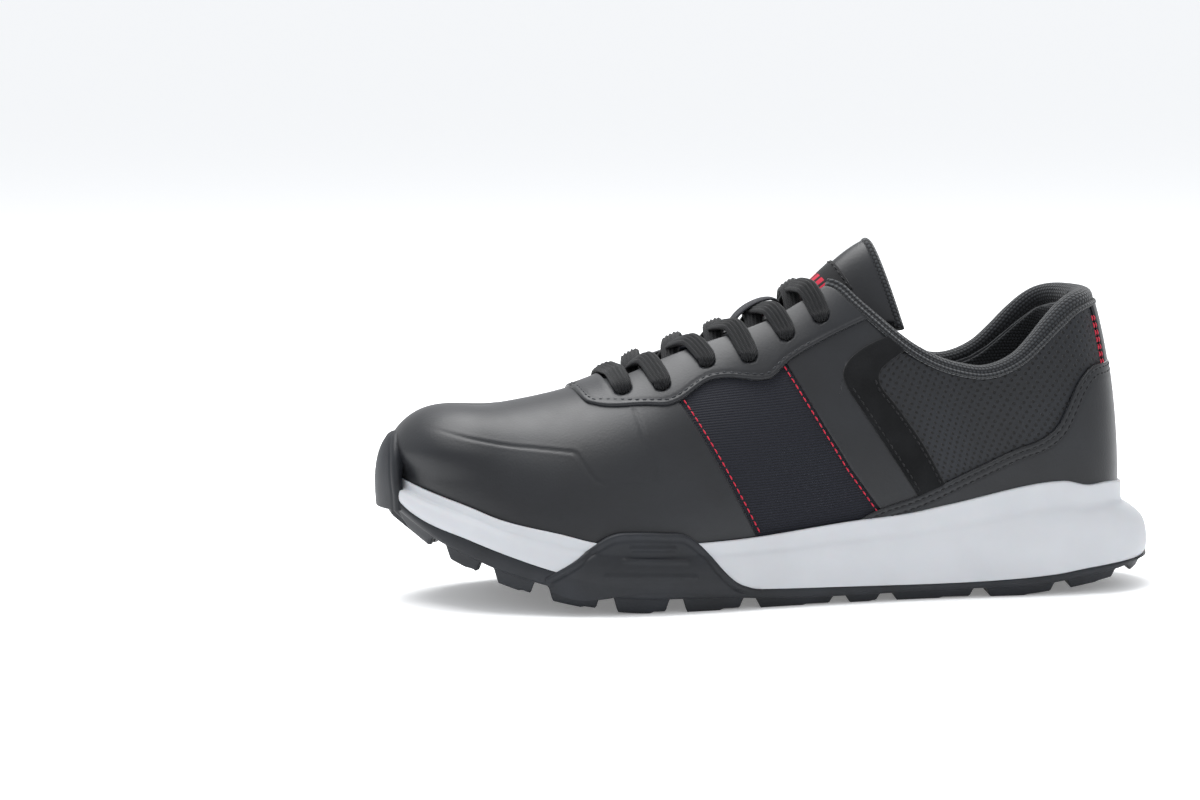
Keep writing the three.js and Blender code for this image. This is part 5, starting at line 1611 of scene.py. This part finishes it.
s_table = np.arange(2000) / 2000
x_table = plan_point(sole_plan, s_table)[:, 0]
for side_name, side in SIDES.items():
    on_side = (s_table < 0.5) if side < 0 else (s_table >= 0.5)
    order = np.argsort(x_table[on_side])
    xs = np.linspace(WING_LOW[0][0], WING_LOW[-1][0], 150)
    vs = border_steps(22, 0.55, True)
    s = np.interp(xs, x_table[on_side][order], s_table[on_side][order])
    s, v = np.meshgrid(s, vs, indexing="ij")
    x = np.broadcast_to(xs[:, None], s.shape)
    z = wing_low_z(x) + (wing_high_z(x) - wing_low_z(x)) * v
    base = wall_point(s, z)
    normal = unit(np.cross(np.gradient(base, axis=1), np.gradient(base, axis=0))) * -side
    normal *= np.sign((normal[..., 1:2] * side))
    near = np.minimum(distance_to(base, base[:, -1]),
                      np.minimum(distance_to(base, base[0]), distance_to(base, base[-1])))
    rounded = 1 - np.sqrt(1 - np.clip(1 - near / 1.1, 0, 1) ** 2)
    proud = WING_PROUD - 1.1 * rounded
    proud = proud - 0.5 * np.exp(-((near - 2.6) / 0.5) ** 2)
    for ridge in WING_RIDGES:
        line = densely(ridge, 1.0)
        place = np.interp(line[:, 0], x_table[on_side][order], s_table[on_side][order])
        away = distance_to(base, wall_point(place, line[:, 1]))
        proud = proud + 0.9 * np.clip(1 - away / 1.3, 0, 1)
    points, quads = closed_sheet(base + normal * proud[..., None],
                                 base + normal * np.minimum(proud - 0.3, -WING_SUNK)[..., None])
    wing = mesh_piece(f"{side_name}_outsole_wing_rubber", points, quads, rubber, "shoe")

# Toe bumper: a tongue of the same rubber that rises over the toe to the leather.
BUMPER_FRONT = [(-16, 15), (-13, 40), (-10, 55), (-6, 62), (0, 65.6), (5, 66.4), (11, 65.6),
                (17, 62), (21, 55), (24, 40), (27, 15)]
BUMPER_OUT = [(30, 0.1), (36, 0.5), (42, 0.9), (49, 0.9), (55, 0.0), (59, -1.3), (62, -2.9),
              (64.5, -5.0), (66.5, -8.5), (70, -12)]
BUMPER_LATERAL, BUMPER_MEDIAL = -12.6, 23.6
BUMPER_LOW = 36.5
BUMPER_ROUND = 1.6
BUMPER_GROOVE_IN = 3.4
BUMPER_GROOVE_DEEP = 0.3
BUMPER_THICK_LOW = 3.2
BUMPER_THICKER_TOP = 4.0
TOE_SHARE = 0.09
bumper_top_z, bumper_out = profile(BUMPER_FRONT), profile(BUMPER_OUT)
bumper_ys = BUMPER_LATERAL + (BUMPER_MEDIAL - BUMPER_LATERAL) * border_steps(42, 0.7, True)
toe_table = plan_point(sole_plan, s_table)
toe_near = np.abs(s_table - s_table[int(np.argmin(toe_table[:, 0]))]) < TOE_SHARE
order = np.argsort(toe_table[toe_near][:, 1])
bumper_s = np.interp(bumper_ys, toe_table[toe_near][order][:, 1], s_table[toe_near][order])
bumper_top = bumper_top_z(bumper_ys)
vs = border_steps(30, 0.7, True)
s, v = np.meshgrid(bumper_s, vs, indexing="ij")
z = BUMPER_LOW + (bumper_top - BUMPER_LOW)[:, None] * v
base = np.concatenate([plan_point(sole_plan, s, bumper_out(z)[..., None]), z[..., None]], axis=-1)
normal = unit(np.cross(np.gradient(base, axis=0), np.gradient(base, axis=1)))
normal *= -np.sign(normal[..., :1])
near = distance_to(base, base[:, -1])
for path in (base[0], base[-1]):
    near = np.minimum(near, distance_to(base, path))
proud = -BUMPER_ROUND * (1 - np.sqrt(1 - np.clip(1 - near / BUMPER_ROUND, 0, 1) ** 2))
proud = proud - BUMPER_GROOVE_DEEP * np.exp(-((near - BUMPER_GROOVE_IN) / 0.6) ** 2)
inside = bumper_out(z) - BUMPER_THICK_LOW - BUMPER_THICKER_TOP * smoothstep(z, 48, 62)
inner = np.concatenate([plan_point(sole_plan, s, inside[..., None]), z[..., None]], axis=-1)
points, quads = closed_sheet(base + normal * proud[..., None], inner)
bumper = mesh_piece("toe_bumper_rubber", points, quads, rubber, "shoe")

# ---- Footbed -----------------------------------------------------------------------------------
# A loose moulded foam footbed with a knit top cloth and a raised heel cup. It lifts out by
# its heel.
FOOTBED_EDGE = [(-145, 4), (-60, 4.5), (20, 8), (80, 13), (143, 14)]
FOOTBED_THICK = [(-145, 3.5), (-60, 4.5), (60, 6), (143, 6)]
footbed_edge, footbed_thick = profile(FOOTBED_EDGE), profile(FOOTBED_THICK)
top_cloth = knit_material("footbed_knit_cloth", "#17181b", "#292b30", 1.3)


def footbed_ring(inset, share):
    """A ring of the footbed: share 0 is its underside, 1 its sole, 2 the top of its edge."""
    plan = plan_point(feather_plan, sole_s, -inset)
    x = plan[:, 0]
    low = feather_z(x) + BOARD_TOP
    high = low + footbed_thick(x) * min(share, 1)
    if share > 1:
        high = high + (footbed_edge(x) - footbed_thick(x)) * (share - 1)
    return np.concatenate([plan, high[:, None]], axis=1)


FOOTBED_SECTION = [(9, 0), (6.4, 0.0), (6.2, 0.5), (5.9, 1.0), (5.7, 1.5), (5.7, 1.85), (6.1, 2.0),
                   (6.9, 1.95), (7.7, 1.7), (9.2, 1.35), (11.4, 1.1), (14.5, 1.0)]
footbed = ring_loft("footbed_foam_and_cloth",
                    [footbed_ring(inset, share) for inset, share in FOOTBED_SECTION],
                    top_cloth, "footbed", flat=True)
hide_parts("footbed")

# ---- Lace --------------------------------------------------------------------------------------
# A flat woven polyester lace with raised ribs. A straight bar crosses the lowest eyelets,
# then each run comes out from under one side and enters the next eyelet of the other side.
LACE_WIDTH = 8.0
LACE_THICK = 2.5
LACE_RIBS = 5
LACE_OUT = 3.0
LACE_IN = -5.4
SINK_WIDTH = 3.8

lace_cloth, tree, shader = material("ribbed_polyester_lace", "#0c0d0f", 0.7, Sheen_Weight=0.08,
                                    Sheen_Roughness=0.4, Specular_IOR_Level=0.3)
cloth = add_node(tree, "Attribute", {"attribute_name": "cloth"}).outputs["Vector"]
parts = add_node(tree, "SeparateXYZ", {}, [("Vector", cloth)])
# Slanted yarns 0.8 mm apart show in every rib.
YARN_PITCH = 0.8
YARN_SLANT = 0.7
slant = add_node(tree, "Math", {"operation": "MULTIPLY_ADD", 1: YARN_SLANT},
                 [(0, parts.outputs["Y"]), (2, parts.outputs["X"])])
phase = add_node(tree, "Math", {"operation": "MULTIPLY", 1: math.pi / YARN_PITCH},
                 [(0, slant.outputs[0])])
wave = add_node(tree, "Math", {"operation": "SINE"}, [(0, phase.outputs[0])])
yarns = add_node(tree, "Math", {"operation": "ABSOLUTE"}, [(0, wave.outputs[0])])
# Colour follows the yarns: near-black in the grooves, lighter on the crests, as painted shade and
# painted highlight over the lace's own black.
tint = add_node(tree, "ValToRGB", {}, [("Fac", yarns.outputs[0])])
tint.color_ramp.elements[0].color = linear("#040506")
tint.color_ramp.elements[1].color = linear("#16171a")
tree.links.new(tint.outputs["Color"], shader.inputs["Base Color"])
bump = add_node(tree, "Bump", {"Strength": 0.6, "Distance": 0.0003},
                [("Height", yarns.outputs[0])])
tree.links.new(bump.outputs["Normal"], shader.inputs["Normal"])


def ridge_at(x):
    slope = float(spine_z(x + 1) - spine_z(x - 1)) / 2
    normal = unit(np.array([-slope, 0, 1.0]))
    return np.array([x, CENTRE_Y, float(spine_z(x))]), normal


def beside_throat(x, side, beyond):
    place = on_last(x, CENTRE_Y + side * (float(throat_edge(x)) + beyond), side, axis=1)
    return last_point(*place), last_normal(*place)


def at_eyelet(row, side):
    place = eyelet_places[(row, side)]
    return last_point(*place), last_normal(*place)


lace_parts = []


def lace_run(stations):
    """A stretch of lace through (point, normal), depth and width stations."""
    rows = [[*(point + normal * depth), *normal, width]
            for (point, normal), depth, width in stations]
    line = through(rows, 14 * len(rows))
    centre, up = line[:, :3], unit(line[:, 3:6])
    way = unit(np.gradient(centre, axis=0))
    across = unit(np.cross(up, way))
    up = np.cross(way, across)
    section = flat_section(1.0, 1.0, LACE_RIBS)
    width = np.maximum(line[:, 6], 1.5)[:, None, None]
    thick = LACE_THICK * (1 + 0.5 * (1 - width / LACE_WIDTH))
    rings = (centre[:, None] + across[:, None] * section[None, :, :1] * width
             + up[:, None] * section[None, :, 1:] * thick)
    lace_parts.append(sweep(f"lace_run_{len(lace_parts)}", centre, rings, lace_cloth))


def into_eyelet(row, side):
    """The end of a run: over the eyelet's edge, then down through it, drawn in narrow."""
    point, normal = at_eyelet(row, side)
    toward_throat = unit(np.array([0, -side * 1.0, 0.55]))
    near = (point + toward_throat * 3.0, normal)
    sunk = (point - toward_throat * 0.2, normal)
    return [(near, LACE_OUT + 0.3, LACE_WIDTH * 0.96),
            ((point, normal), LACE_OUT - 0.9, LACE_WIDTH * 0.74),
            (sunk, -0.6, SINK_WIDTH), (sunk, -3.4, SINK_WIDTH)]


bar_x = EYELETS[0][0]
bar = [*into_eyelet(0, -1)[::-1], (beside_throat(bar_x, -1, 0.5), LACE_OUT + 0.1, LACE_WIDTH),
       (beside_throat(bar_x, -1, -4), LACE_OUT - 0.2, LACE_WIDTH),
       (ridge_at(bar_x), 1.6, LACE_WIDTH),
       (beside_throat(bar_x, 1, -4), LACE_OUT - 0.2, LACE_WIDTH),
       (beside_throat(bar_x, 1, 0.5), LACE_OUT + 0.1, LACE_WIDTH), *into_eyelet(0, 1)]
lace_run(bar)
for row in range(1, len(EYELETS)):
    for side in (-1, 1):
        start, stop = EYELETS[row - 1][0], EYELETS[row][0]
        over = 0.9 if side > 0 else 0.0
        lace_run([
            (beside_throat(start + (stop - start) * 0.2, -side, 0.5), LACE_IN, LACE_WIDTH * 0.8),
            (beside_throat(start + (stop - start) * 0.3, -side, -4), LACE_IN + 0.6,
             LACE_WIDTH * 0.9),
            (ridge_at(start + (stop - start) * 0.5), -1.4 + over, LACE_WIDTH),
            (beside_throat(start + (stop - start) * 0.75, side, -4.5), LACE_OUT - 0.4, LACE_WIDTH),
            (beside_throat(start + (stop - start) * 0.88, side, 0.3), LACE_OUT + 0.3, LACE_WIDTH),
            *into_eyelet(row, side)])
lace_shape = bmesh.new()
for part in lace_parts:
    lace_shape.from_mesh(part.data)
    bpy.data.objects.remove(part)
lace_mesh = bpy.data.meshes.new("lace_woven")
lace_shape.to_mesh(lace_mesh)
lace_shape.free()
lace_mesh.shade_smooth()
lace_mesh.materials.append(lace_cloth)
lace = bpy.data.objects.new("lace_woven", lace_mesh)
bpy.context.collection.objects.link(lace)
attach(lace, "shoe")
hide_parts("lace")

# ---- Aglets ------------------------------------------------------------------------------------
# Black acetate film rolled round the lace's ends, which are tucked inside the shoe.
acetate, tree, shader = material("black_acetate_film", "#0d0e10", 0.3, IOR=1.48)
WRAP_WIDE = 1.5
wrap = add_node(tree, "TexNoise", {"Scale": 1000 / WRAP_WIDE, "Detail": 2.0},
                [("Vector", add_node(tree, "TexCoord", {}).outputs["Object"])])
gloss = add_node(tree, "MapRange", {"To Min": 0.22, "To Max": 0.42},
                 [("Value", wrap.outputs["Fac"])])
tree.links.new(gloss.outputs["Result"], shader.inputs["Roughness"])
finish_kept("lateral_aglet", acetate)
finish_kept("medial_aglet", acetate)
